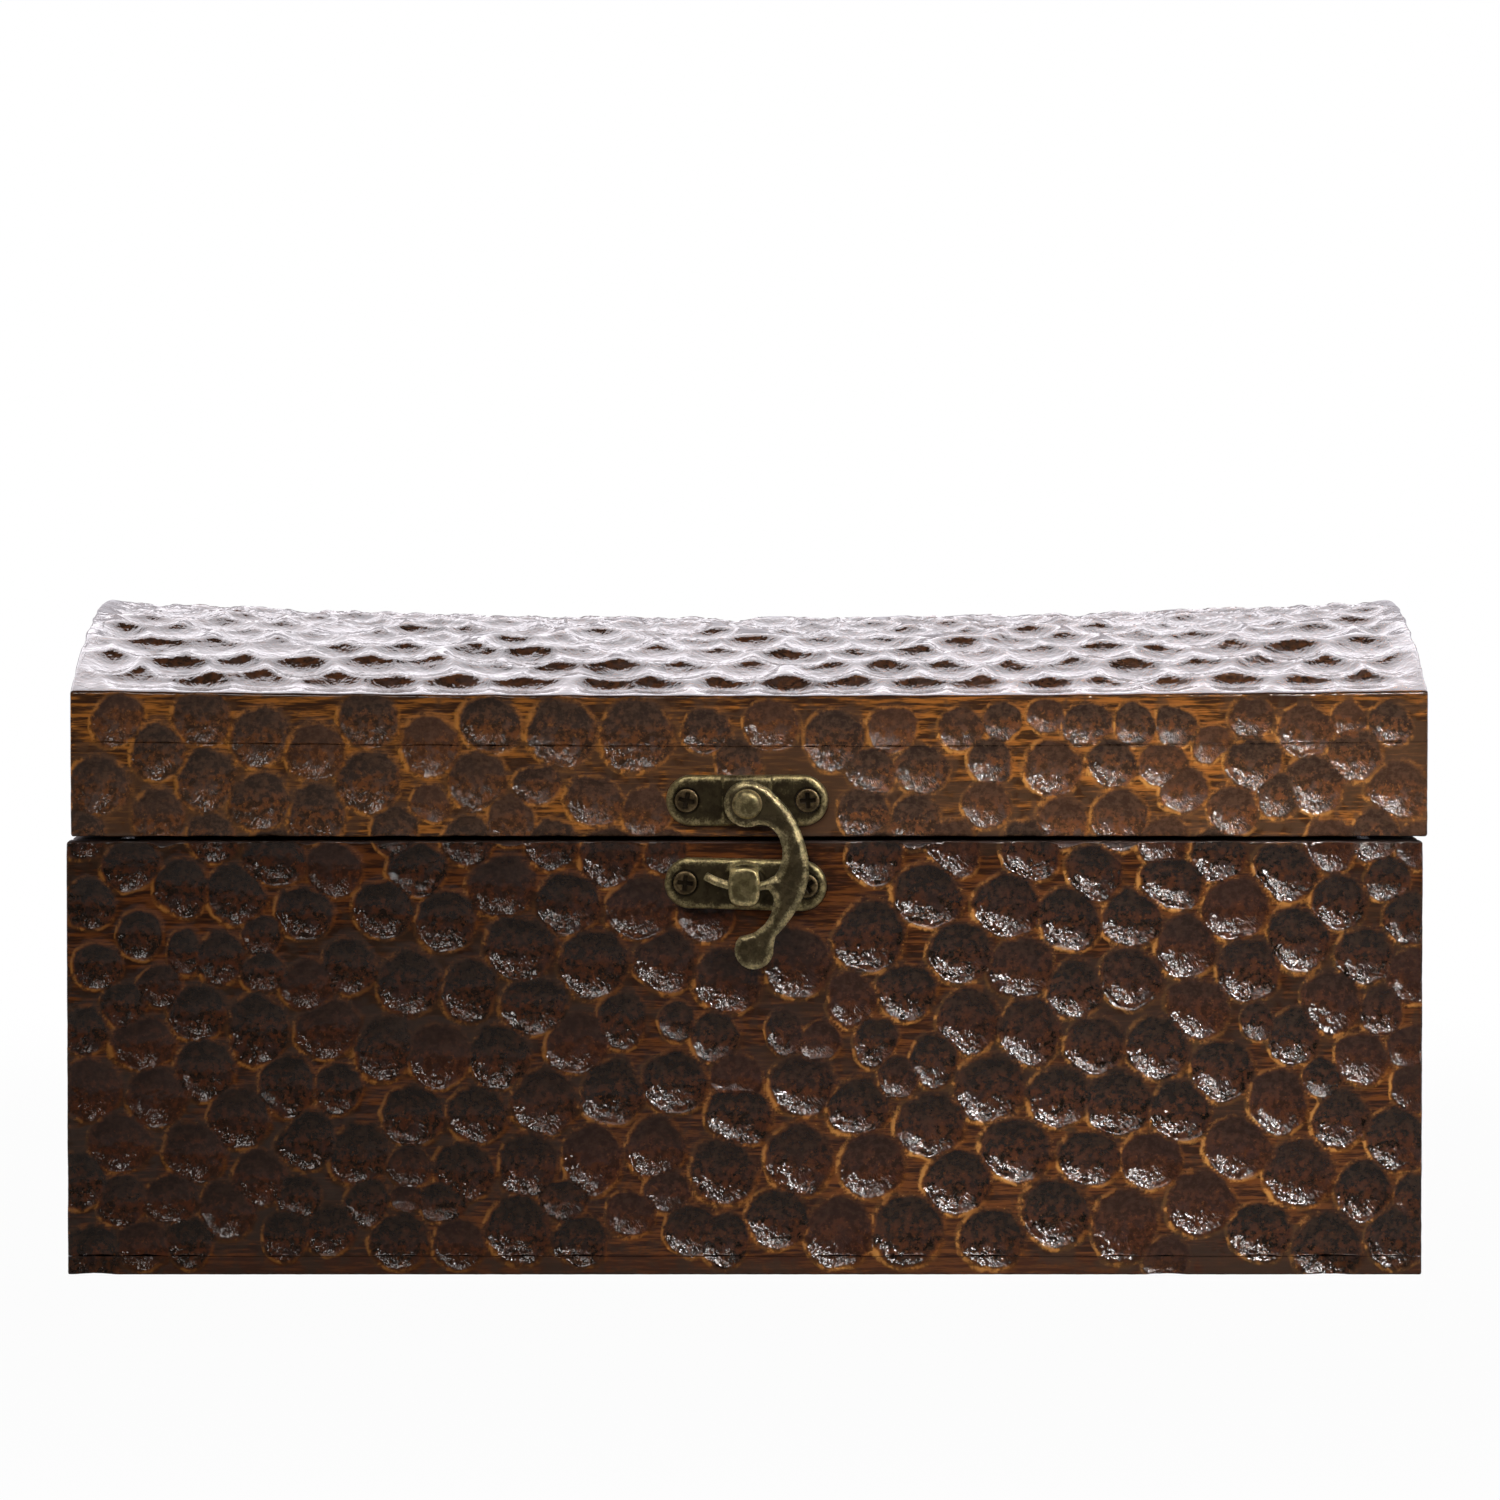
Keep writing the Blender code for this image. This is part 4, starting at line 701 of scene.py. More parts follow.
def stained_wood(name, along, pit, warm, land, amber, rim_wear_and_light=0.5, dull_edge=0.0, wear=0.55, matt=0.0):
    """Dark stain pooled in the cuts, dark high ground streaked along the grain, and a soft amber glow on the
    rims between them, partly where the stain was rubbed away and partly painted light, strongest on the sides
    that face left and down, with painted glints that grow toward the right."""
    material, tree, shader = new_material(name)
    spot = get(tree, "ShaderNodeTexCoord", "Object")
    ring, chance, rise, slant = (get(tree, "ShaderNodeAttribute", "Fac", attribute_name=kept)
                                 for kept in ("ring", "chance", "rise", "slant"))

    def grain(scale, share, roughness, shift):
        """Noise drawn out along the grain, where it has only a share of its fineness."""
        fineness = [share if axis == along else 1 for axis in "xyz"]
        sockets = {"Vector": spot, "Scale": fineness, "Location": (shift,) * 3}
        return noise(get(tree, "ShaderNodeMapping", 0, sockets), scale, 3.0, roughness)

    streaks = grain(1500.0, 0.09, 0.60, 0.3)
    patches = grain(42.0, 0.30, 0.55, 0.0)
    speckle = grain(1900.0, 0.45, 0.65, 2.9)
    blotch = noise(spot, 330.0)
    mottle = noise(spot, 720.0, 3.0, 0.62)
    fine = noise(spot, 1500.0, 2.0)
    across, _, height = parts(spot)
    level = parts(get(tree, "ShaderNodeTexCoord", "Normal"))[2].ramp(0.30, 0.60)

    # Masks: ring is 0 at the middle of a cut and 1 at its rim. The lid's top has no amber on its rims, and
    # the lid's top, ground that faces up and the face that the lid shuts on get painted shade.
    wavering = ring + (blotch - 0.5) * 0.24
    outside = wavering.ramp(0.84, 1.08)
    under_lid = height.ramp(*RIM_START) * height.ramp(*RIM_END)
    upward = level * outside.then("MAXIMUM", under_lid)
    below_top = height.ramp(TOP_END, TOP_START)
    # lower marks the lower halves of the cuts, where light is painted in.
    lower = (rise + (blotch - 0.5) * 1.8).ramp(0.60, -0.10)

    # Stain in the cuts, and the ground between them. The lower halves of the cuts, whose walls face up toward
    # the lamps, get painted light: warmer, flecked with amber, and clouded with a greyer painted sheen.
    stained = blend((mottle + speckle * 0.4).ramp(0.86, 0.56) * 0.8, pit[0], pit[1])
    stained = blend(mottle.ramp(0.44, 0.62) * lower * 0.75, stained, warm)
    stained = blend(chance.ramp(0.5, 1.0) * 0.25, stained, warm)
    stained = blend(blotch.ramp(0.50, 0.64) * lower * 0.55, stained, pit[2])
    stained = blend(fine.ramp(0.60, 0.70) * lower * below_top * 0.32, stained, amber)
    ground = blend((streaks + patches * 0.55).ramp(0.70, 0.98) * wear, land, amber)
    ground = blend(streaks.ramp(0.56, 0.44) * 0.3, ground, pit[1])
    ground = blend((patches + blotch * 0.8).ramp(0.96, 0.78) * 0.75, ground, pit[0])
    colour = blend(outside, stained, ground)

    # Rims, rubbed back here and there. Their amber is partly wear and partly painted light, strongest on the
    # sides that face left and down.
    rim = wavering.ramp(0.86, 1.0) * wavering.ramp(1.13, 1.0) * below_top
    sunlit = (slant * -0.7 + rise * -0.5).ramp(-0.6, 0.9)
    broken = (blotch + mottle * 0.5).ramp(0.70, 0.84) * 0.85 + 0.15
    rubbed = broken * ((patches + mottle * 0.6).ramp(0.60, 0.98) * 0.6 + 0.4)
    colour = blend(rim * (sunlit * 0.6 + 0.4) * rubbed * 1.4 * rim_wear_and_light, colour, amber)
    # Painted glints: a bright gold line on the rim edges that face left and down, and flecks on the rims,
    # more toward the right.
    edge = wavering.ramp(0.93, 1.0) * wavering.ramp(1.11, 1.03) * sunlit * below_top
    rightward_glints = (across.ramp(-0.03, 0.05) * 0.55 + 0.45) * rim_wear_and_light
    glints = edge.then("MAXIMUM", rim * speckle.ramp(0.58, 0.70) * 0.6)
    colour = blend(glints * rubbed * rightward_glints, colour, RIM_GLINT)
    # Painted shade: ground that faces up and the face that the lid shuts on go most of the way to SHADE, and
    # the lid's top half way.
    shaded = (upward * 0.75).then("MAXIMUM", height.ramp(TOP_START, TOP_END) * 0.50)
    colour = blend(shaded, colour, SHADE)
    rough = 0.03 + fine.ramp(0.48, 0.66) * 0.08 + upward * dull_edge + below_top * matt

    # Varnish: fine wrinkles, and fibres that fan out from the middle of a cut where the gouge came out.
    turned = join(tree, slant, rise).arrow("NORMALIZE")
    fan = turned.arrow("ADD", {1: join(tree, 0.0, 0.0, chance * 17.0 + ring)})
    fibres = noise(fan, 8.0, 1.0) * rise.ramp(-0.05, -0.5) * ring.ramp(1.02, 0.85) * 0.8
    wrinkle = (noise(spot, 700.0, 1.5, 0.50) + speckle * 0.12) * (outside * -0.6 + 1.0) + fibres
    strength = level * -0.5 + 1.0
    relief = get(tree, "ShaderNodeBump", 0, {"Height": wrinkle, "Strength": strength, "Distance": 0.00024})
    feed(shader, {"Base Color": colour, "Roughness": rough, "Specular IOR Level": 0.50, "Normal": relief})
    return material


def side_rows(seed, u_span, v_span, higher=0):
    """Rows of cuts on an unseen face, with uneven outlines. The rows above v_span run on up the lid."""
    cuts = rows_of_cuts(seed, u_span, v_span)
    rise = v_span[1] - v_span[0]
    cuts += [(u, v + rise * step, r) for step in range(1, higher + 1)
             for u, v, r in rows_of_cuts(seed + 20 * step, u_span, v_span)]
    uneven = np.random.default_rng(seed)
    return [(*cut, *uneven.normal(0, 0.00030, 2), *uneven.normal(0, 0.00016, 2)) for cut in cuts]


TENTH = 0.0001
LEFT_SEED, RIGHT_SEED, BACK_SEED, LID_SEED = 8, 9, 7, 10
LID_SHIFT = 0.0009
LID_RISE = 0.0171
LID_CUT_WIDTH = 1.32
foot = BOTTOM + HAIR
inner_y = half_depth - WALL - GLUE_GAP
side_span = half_depth - WALL - HAIR
body_span = (BOTTOM + GLUE_GAP, BODY_HEIGHT)
lid_left, lid_right = LID_SHIFT - half_width, LID_SHIFT + half_width
arch_radius = (half_depth ** 2 + LID_RISE ** 2) / (2 * LID_RISE)
lid_rows = side_rows(LID_SEED, (lid_left, lid_right), (-half_depth, half_depth))
gouge_cuts = lay_cuts((
    ((0, -1, 0), [tuple(value * TENTH for value in cut) for cut in FRONT_CUTS]),
    ((0, 1, 0), side_rows(BACK_SEED, (-half_width, half_width), body_span, 1)),
    ((-1, 0, 0), side_rows(LEFT_SEED, (-inner_y, inner_y), body_span, 1)),
    ((1, 0, 0), side_rows(RIGHT_SEED, (-inner_y, inner_y), body_span, 1)),
    ((0, 0, 1), [(u, arch_radius * math.asin(v / arch_radius), r * LID_CUT_WIDTH, *lobes)
                 for u, v, r, *lobes in lid_rows]),
))
carving = make_carving(make_one_cut())

# Stains are thin, pooled and clouded; the third of each stain is the greyer colour painted low in the cuts as
# sheen. Tints are the stain, warm, land, amber, rim_wear_and_light and dull_edge, and for the lid also wear
# and matt.
BODY_STAIN = (tint(52, 39, 30), tint(28, 21, 17), tint(55, 41, 39))
BODY_TINTS = (BODY_STAIN, tint(78, 42, 26), tint(50, 29, 18), tint(124, 70, 31), 0.7, 0.8)
deep_steps = laid_steps(0, WALL, EDGE_CELL)
for grain, parts_of_body in (("x", (("front_board", -1), ("back_board", 1))),
                             ("y", (("left_side_board", -1), ("right_side_board", 1)))):
    lengthwise = grain == "x"
    wood = stained_wood("carved_wood_" + ("lengthwise" if lengthwise else "sidewise"), grain, *BODY_TINTS)
    span = half_width if lengthwise else side_span
    for name, way in parts_of_body:
        if lengthwise:
            place, glued = lambda u, v, w: (u, way * (half_depth - w), v), ("foot",)
        else:
            place, glued = lambda u, v, w: (way * (half_width - w), u, v), ("start", "end", "foot")
        mesh = board_mesh(name, laid_steps(-span, span), laid_steps(foot, BODY_HEIGHT), deep_steps, place,
                          glued=glued)
        carve_board(mesh, name, "base", 0.0, wood)


# Lid: two rails and two arched ends under one panel 10 mm thick, glued up, then carved and varnished
# with the body. The panel arches from front to back and sags a little between its ends.
SEAM_GAP = 0.0008
LID_CORNER_HEIGHT = 0.0301
PANEL_THICKNESS = 0.0104
PANEL_CELL = 0.00078
CROWN_SAG = 0.0037
EDGE_SAG = 0.0010
END_HEIGHT = 0.034
lid_foot = BODY_HEIGHT + SEAM_GAP
rail_height = LID_CORNER_HEIGHT - PANEL_THICKNESS - GLUE_GAP


def lid_top(x, y):
    """Height of the lid's upper face."""
    over_crown = np.sqrt(arch_radius ** 2 - y ** 2) - (arch_radius - LID_RISE)
    ends = 1 - ((x - LID_SHIFT) / half_width) ** 2
    sag = EDGE_SAG + (CROWN_SAG - EDGE_SAG) * over_crown / LID_RISE
    return lid_foot + LID_CORNER_HEIGHT + over_crown - sag * ends


def under_lid_top(points):
    """How deep each point lies under the lid's upper face, how far along its arch, and the arch's lean."""
    x, y, z = points.T
    lean = np.arcsin(y / arch_radius)
    return (lid_top(x, y) - z) * np.cos(lean), arch_radius * lean, lean


def frame_point(x, y, share):
    """A point of the lid's frame: share is 0 at its foot and 1 under the panel."""
    return (x, y, lid_foot + share * (float(lid_top(x, y)) - PANEL_THICKNESS - HAIR - lid_foot))


LID_STAIN = (tint(84, 61, 45), tint(46, 34, 26), tint(92, 76, 70))
LID_TINTS = (LID_STAIN, tint(116, 69, 39), tint(68, 43, 26), tint(178, 112, 48), 0.9, 0.0, 0.9, 0.06)
lid_wood = stained_wood("lid_wood_lengthwise", "x", *LID_TINTS)
lid_end_wood = stained_wood("lid_wood_sidewise", "y", *LID_TINTS)
for name, way in (("lid_front_rail", -1), ("lid_back_rail", 1)):
    mesh = board_mesh(name, laid_steps(lid_left, lid_right), laid_steps(0, rail_height), deep_steps,
                      lambda u, v, w: frame_point(u, way * (half_depth - w), v / rail_height),
                      glued=("head",))
    carve_board(mesh, name, "lid", LID_SHIFT, lid_wood, under_lid_top)
for name, way in (("lid_left_end", -1), ("lid_right_end", 1)):
    mesh = board_mesh(name, laid_steps(-side_span, side_span), laid_steps(0, END_HEIGHT), deep_steps,
                      lambda u, v, w: frame_point(LID_SHIFT + way * (half_width - w), u, v / END_HEIGHT),
                      glued=("start", "end", "head"))
    carve_board(mesh, name, "lid", LID_SHIFT, lid_end_wood, under_lid_top)
mesh = board_mesh("lid_top_panel", laid_steps(lid_left, lid_right, PANEL_CELL),
                  laid_steps(-half_depth, half_depth, PANEL_CELL), laid_steps(0, PANEL_THICKNESS, EDGE_CELL),
                  lambda u, v, w: (u, v, float(lid_top(u, v)) - w), glued=("back",))
carve_board(mesh, "lid_top_panel", "lid", LID_SHIFT, lid_wood, under_lid_top)


# Bottom panel: a 4 mm board of the same wood, glued on under the walls. Its edge shows below the carving
# as a plain varnished strip.
BOTTOM_CELL = 0.0006
BOTTOM_TINTS = (BODY_STAIN, tint(70, 38, 20), tint(66, 36, 19), tint(100, 56, 26))
bottom_wood = stained_wood("bottom_wood", "x", *BOTTOM_TINTS)
mesh = board_mesh("bottom_panel", laid_steps(-half_width, half_width), laid_steps(-half_depth, half_depth),
                  laid_steps(0, BOTTOM, BOTTOM_CELL), lambda u, v, w: (u, v, w), plain=True, coarse=12,
                  glued=("back",))
carve_board(mesh, "bottom_panel", "base", 0.0, bottom_wood)


# Brass finish of all the hardware: browned in a bath and then tumbled, so the brown stays on the flats and
# every raised edge is rubbed back to paler metal. Round the screw heads and in their recesses it is painted
# darker, as shade in the gaps, partly grime.
METAL_SHARE = 0.8
BATH_BROWN = tint(44, 36, 24)
GRIME_AND_SHADE = tint(24, 17, 10)


def antique_brass(name, field, rim, rough=0.34):
    material, tree, shader = new_material(name)
    spot = get(tree, "ShaderNodeTexCoord", "Object")
    wear, grime_and_shade = (get(tree, "ShaderNodeAttribute", "Fac", attribute_name=kept) for kept in ("wear", "grime_and_shade"))
    cloud = noise(spot, 420.0, 3.0, 0.6)
    speck = noise(spot, 2300.0, 3.0, 0.7)
    drift = noise(spot, 150.0, 3.0, 0.6)
    uneven = wear + (cloud - 0.5) * 1.1 + (drift - 0.5) * 0.9 + (speck - 0.5) * 1.0
    colour = blend(uneven.ramp(0.14, 1.0), field, rim)
    colour = blend(cloud.ramp(0.56, 0.42) * 0.5, colour, BATH_BROWN)
    colour = blend(speck.ramp(0.52, 0.40) * 0.5, colour, field)
    # Painted shade, partly grime: the marked places round and in the screws are darkened.
    colour = blend(grime_and_shade * 0.85, colour, GRIME_AND_SHADE)
    pitting = cloud * 0.8 + speck * 0.3
    relief = get(tree, "ShaderNodeBump", 0, {"Height": pitting, "Strength": 0.6, "Distance": 0.00012})
    feed(shader, {"Base Color": colour, "Metallic": METAL_SHARE, "Roughness": rough - 0.08 + speck * 0.16,
                  "Normal": relief})
    return material


def smooth_step(values, low, high):
    share = np.clip((values - low) / (high - low), 0, 1)
    return share * share * (3 - 2 * share)


def keep_finish(mesh, material, wear, grime_and_shade=None):
    """Keeps where the brass is worn and where it is painted darker, as shade and grime, for its material."""
    keep_number(mesh, "wear", wear)
    keep_number(mesh, "grime_and_shade", np.zeros(len(mesh.vertices)) if grime_and_shade is None else grime_and_shade)
    mesh.materials.clear()
    mesh.materials.append(material)


# The hook's field and rims, and the rims of pale_brass, are made paler partly as painted highlights on their
# rounded faces.
plate_brass = antique_brass("plate_brass", tint(80, 70, 49), tint(198, 180, 128))
hook_brass = antique_brass("hook_brass", tint(100, 88, 64), tint(220, 202, 150), 0.30)
pale_brass = antique_brass("pale_brass", tint(142, 128, 90), tint(252, 232, 170), 0.32)
screw_brass = antique_brass("screw_brass", tint(84, 70, 48), tint(150, 128, 92), 0.38)


# Latch plates: sheet brass pressed with round ends, a rolled rim, countersunk screw holes and a raised
# bridge, screwed to the front of the lid and of the body. The keeper has a low round boss for its bridge.
PLATE_LENGTH = 0.0334
PLATE_HEIGHT = 0.0105
PLATE_THICKNESS = 0.0013
PLATE_SCREW_SPACING = 0.025
BRIDGE_RISE = 0.0006
BRIDGE_EDGE = (0.0046, 0.0056)
BOSS_EDGE = (-0.0005, 0.0003)
PLATE_RIM = 0.0016
PLATE_DISH = 0.00010
DISH_EDGE = (0.0014, 0.0032)
PLATE_CELL = 0.00013
RIM_CELL = 0.00004
COUNTERSINK = 0.0006
COUNTERSINK_EDGE = (0.00005, 0.00028)
SHADED_RING_EDGE = (0.0002, 0.0007)
SCREW_HEAD_RADIUS = 0.0024
KEEPER_BOSS = (-0.0003, 0.0000, 0.0046)


def middle_of(node):
    low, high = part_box(node)
    return Vector(((low[0] + high[0]) / 2, (low[1] + high[1]) / 2, (low[2] + high[2]) / 2))


def pressed_plate(name, body, node, left_screw, right_screw, boss=None):
    """A plate drawn in rings that run in from its outline, with a bridge or, if boss is given, a boss."""
    reach = (PLATE_LENGTH - PLATE_HEIGHT) / 2
    radius = PLATE_HEIGHT / 2
    turns = round(math.pi * radius / PLATE_CELL)
    steps = round(2 * reach / PLATE_CELL)
    spine = []
    for way, angle in ((1, 1.5 * math.pi), (-1, 0.5 * math.pi)):
        spine += [(way * reach * (2 * k / steps - 1), angle) for k in range(steps)]
        spine += [(way * reach, angle + math.pi * k / turns) for k in range(turns)]
    spine = np.array(spine)
    rim_insets = RIM_CELL * np.arange(6)
    insets = np.concatenate([rim_insets, np.arange(7 * RIM_CELL, radius, PLATE_CELL), [radius]])
    u = (spine[:, 0] + np.outer(radius - insets, np.cos(spine[:, 1]))).ravel()
    v = np.outer(radius - insets, np.sin(spine[:, 1])).ravel()
    inset = np.repeat(insets[:, None], len(spine), axis=1).ravel()

    rim = np.sqrt(1 - (1 - np.clip(inset / PLATE_RIM, 0, 1)) ** 2)
    height = GLUE_GAP + PLATE_THICKNESS * (0.35 + 0.65 * rim)
    height = height - PLATE_DISH * smooth_step(inset, *DISH_EDGE)
    if boss:
        out = np.hypot(u - boss[0], v - boss[1]) - boss[2]
        fall = smooth_step(out, *BOSS_EDGE)
    else:
        fall = smooth_step(np.abs(u), *BRIDGE_EDGE)
    height += BRIDGE_RISE * (1 - fall) * (0.4 + 0.6 * rim)
    screw_gap = np.minimum(np.hypot(u + PLATE_SCREW_SPACING / 2, v), np.hypot(u - PLATE_SCREW_SPACING / 2, v))
    past_head = screw_gap - SCREW_HEAD_RADIUS
    height -= COUNTERSINK * (1 - smooth_step(past_head, *COUNTERSINK_EDGE))

    left, right = middle_of(left_screw), middle_of(right_screw)
    across = (right - left).normalized()
    up = Vector((-across.z, 0, across.x))
    centre = (left + right) / 2
    front = -half_depth
    points = np.stack([centre.x + u * across.x + v * up.x, front - height,
                       centre.z + u * across.z + v * up.z], axis=1)
    count = len(spine)
    back = points[:count].copy()
    back[:, 1] = front - GLUE_GAP
    rings = len(insets)
    starts = [(r * count, r * count + count) for r in range(rings - 1)]
    faces = [(a + k, b + k, b + (k + 1) % count, a + (k + 1) % count)
             for a, b in starts for k in range(count)]
    base = rings * count
    faces += [(base + k, k, (k + 1) % count, base + (k + 1) % count) for k in range(count)]
    faces.append(tuple(range(base, base + count)))
    wear = 0.95 * np.exp(-(inset / 0.0010) ** 2) + 0.22 * (1 - smooth_step(inset, 0.001, 0.0024))
    if boss:
        # Painted highlight: a pale line on the upper half of the boss's rim, where it faces up.
        wear = wear + 0.9 * np.exp(-(out / 0.00035) ** 2) * smooth_step(v, 0.0012, 0.0032)
    else:
        # Painted shade: the rim's pale colour is taken down across the bridge, under the hook's eye.
        wear = wear * (1 - 0.6 * np.exp(-(u / 0.0040) ** 4))
        wear = wear + 0.5 * np.exp(-((np.abs(u) - 0.0050) / 0.0003) ** 2)
    # Painted shade, partly grime: a dark ring round each screw head, where the gap to the countersink is.
    grime_and_shade = 1 - smooth_step(past_head, *SHADED_RING_EDGE)
    mesh = bpy.data.meshes.new(name)
    mesh.from_pydata(np.concatenate([points, back]).tolist(), [], faces)
    wear, grime_and_shade = np.concatenate([wear, np.ones(count)]), np.concatenate([grime_and_shade, np.zeros(count)])
    keep_finish(mesh, plate_brass, wear, grime_and_shade)
    shape = bmesh.new()
    shape.from_mesh(mesh)
    bmesh.ops.remove_doubles(shape, verts=shape.verts, dist=1e-6)
    add_piece(close_up(shape, mesh), name, body, (node,), 60)


pressed_plate("pressed_hook_plate", "lid", "hook_plate", "hook_plate_left_screw", "hook_plate_right_screw")
pressed_plate("pressed_keeper_plate", "base", "keeper_plate", "keeper_left_screw", "keeper_right_screw",
              KEEPER_BOSS)


# Hook, hinge leaves and pins: cast or pressed brass whose edges were rounded in the tumbler. The plain solids
# are drawn again finely and softened, and the hook's front edge is rolled over.
FINE_VOXEL = 0.00015
LEAF_VOXEL = 0.00022
WORN_WIDTH = 0.00085
HOOK_ROLL = 0.0023
HOOK_SINK = 0.0009
HOOK_SWELL = 0.00012
EYE_RADIUS = 0.0022
ARM_DROP = 0.0155
ARM_SPAN = 0.0095
ARM_SWELL = 0.00045
pivot = middle_of("hook_rivet")


def tumbled(name, body, replaced, material, voxel, rounds, roll=0.0, sink=0.0, swell=0.0, hole=0.0):
    """A finer copy of one solid, with soft edges. roll is how far in its front edge falls away, by sink.
    swell makes up for what the softening takes off the sides. hole is the radius round the pivot whose
    walls don't count as worn edges."""
    shape = bmesh.new()
    shape.from_mesh(nodes[replaced].data)
    rough_mesh = bpy.data.meshes.new(name + "_rough")
    shape.to_mesh(rough_mesh)
    shape.free()
    walls = [[rough_mesh.vertices[index].co for index in face.vertices]
             for face in rough_mesh.polygons if abs(face.normal.y) < 0.5]
    if hole:
        walls = [wall for wall in walls if all(math.hypot(p.x - pivot.x, p.z - pivot.z) > hole for p in wall)]
    corners = [corner for wall in walls for corner in wall]
    starts = np.cumsum([0] + [len(wall) for wall in walls])
    outline = BVHTree.FromPolygons(corners, [list(range(a, b)) for a, b in zip(starts, starts[1:])])
    blank = new_object("blank", rough_mesh)
    fine = blank.modifiers.new("fine", "REMESH")
    fine.mode = "VOXEL"
    fine.voxel_size = voxel
    soft = blank.modifiers.new("soft", "SMOOTH")
    soft.factor = 0.5
    soft.iterations = rounds
    mesh = baked(blank)
    count = len(mesh.vertices)
    spots, normals = np.empty(count * 3), np.empty(count * 3)
    mesh.vertices.foreach_get("co", spots)
    mesh.vertex_normals.foreach_get("vector", normals)
    spots, normals = spots.reshape(-1, 3), normals.reshape(-1, 3)
    gaps = np.array([outline.find_nearest(spot)[3] for spot in spots.tolist()])
    if roll:
        share = 1 - np.clip(gaps / roll, 0, 1)
        spots[:, 1] += sink * (1 - np.sqrt(1 - share ** 2)) * np.clip(-normals[:, 1], 0, 1)
    if swell:
        arm = np.exp(-((spots[:, 2] - pivot.z + ARM_DROP) / ARM_SPAN) ** 2)
        fuller = swell + ARM_SWELL * arm * smooth_step(spots[:, 0], pivot.x + 0.003, pivot.x + 0.006)
        spots[:, 0] += fuller * normals[:, 0]
        spots[:, 2] += fuller * normals[:, 2]
    mesh.vertices.foreach_set("co", spots.ravel())
    wear = 0.95 * np.exp(-(gaps / WORN_WIDTH) ** 2) * (0.5 + 0.5 * np.abs(normals[:, 1]))
    keep_finish(mesh, material, wear)
    add_piece(mesh, name, body, (replaced,), 50)


tumbled("tumbled_swing_hook", "hook", "swing_hook", hook_brass, FINE_VOXEL, 4,
        HOOK_ROLL, HOOK_SINK, HOOK_SWELL, EYE_RADIUS)
for side in ("left", "right"):
    tumbled(side + "_rolled_body_leaf", "base", side + "_hinge_body_leaf", plate_brass, LEAF_VOXEL, 3)
    tumbled(side + "_rolled_lid_leaf", "lid", side + "_hinge_lid_leaf", plate_brass, LEAF_VOXEL, 3)
    tumbled(side + "_turned_hinge_pin", "base", side + "_hinge_pin", pale_brass, FINE_VOXEL, 3)


# Keeper post: a short brass stem that stands out of the lower plate, with a cushion-shaped head, filed
# round at its corners. The hook's tine goes behind the head.
POST_STEPS = 96
STEM_WIDTH = 0.0060
STEM_HEIGHT = 0.0026
STEM_FOOT = 0.0157
HEAD_THICKNESS = 0.0014
HEAD_BEVEL = 0.0011
HEAD_BEVEL_FALL = 0.0006
HALF_HAIR = 0.00002
SQUARENESS = 3.1


def skinned(rings):
    """A shape drawn over rings of points, one after another, and closed at both ends."""
    shape = bmesh.new()
    hoops = [[shape.verts.new(spot) for spot in ring] for ring in rings]
    for outer, inner in zip(hoops, hoops[1:]):
        for k in range(len(outer)):
            shape.faces.new((outer[k - 1], outer[k], inner[k], inner[k - 1]))
    shape.faces.new(hoops[0])
    shape.faces.new(hoops[-1])
    return shape


def squared(value):
    """The cosine or sine of a circle, drawn out toward a square."""
    return math.copysign(abs(value) ** (2 / SQUARENESS), value)


low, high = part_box("keeper_post")
middle = middle_of("keeper_post")
half_head = ((high[0] - low[0]) / 2 - HALF_HAIR, (high[2] - low[2]) / 2 - HALF_HAIR)
insets = [0.0, 0.00005, 0.00012, 0.0002, 0.0003, 0.00042, 0.00056, 0.0007, 0.00085, 0.001, HEAD_BEVEL]
falls = [HEAD_BEVEL_FALL * (1 - math.sqrt(1 - max(0.0, 1 - inset / HEAD_BEVEL) ** 2)) for inset in insets]
shares = [1 - inset / half_head[0] for inset in insets] + [0.5, 0.34, 0.2, 0.1, 0.02]
rings = []
for share, fall in [(1.0, HEAD_THICKNESS), *zip(shares, falls + [0.0] * 5)]:
    share_z = share if share < 0.9 else 1 - (1 - share) * 0.8
    rings.append([(middle.x + squared(c) * half_head[0] * share, low[1] + fall,
                   middle.z + squared(s) * half_head[1] * share_z) for c, s in circle(POST_STEPS)])
shape = skinned(rings)
stem_middle = (middle.x, (low[1] + HEAD_THICKNESS / 2 + high[1]) / 2, pivot.z - STEM_FOOT + STEM_HEIGHT / 2)
stem_size = (STEM_WIDTH, high[1] - low[1] - HEAD_THICKNESS / 2, STEM_HEIGHT)
for corner in bmesh.ops.create_cube(shape, size=1.0)["verts"]:
    corner.co = [m + c * s for m, c, s in zip(stem_middle, corner.co, stem_size)]
mesh = close_up(shape, bpy.data.meshes.new("post"))
inward = []
for vertex in mesh.vertices:
    out_x, out_z = (vertex.co.x - middle.x) / half_head[0], (vertex.co.z - middle.z) / half_head[1]
    inward.append(1 - min(1.0, max(abs(out_x), abs(out_z), math.hypot(out_x, out_z) / 1.22)))
# The bevel all round the head is painted pale, partly wear and partly a painted highlight.
keep_finish(mesh, pale_brass, 1.5 * np.exp(-(np.array(inward) / 0.22) ** 2))
add_piece(mesh, "filed_keeper_post", "base", ("keeper_post",), 50)


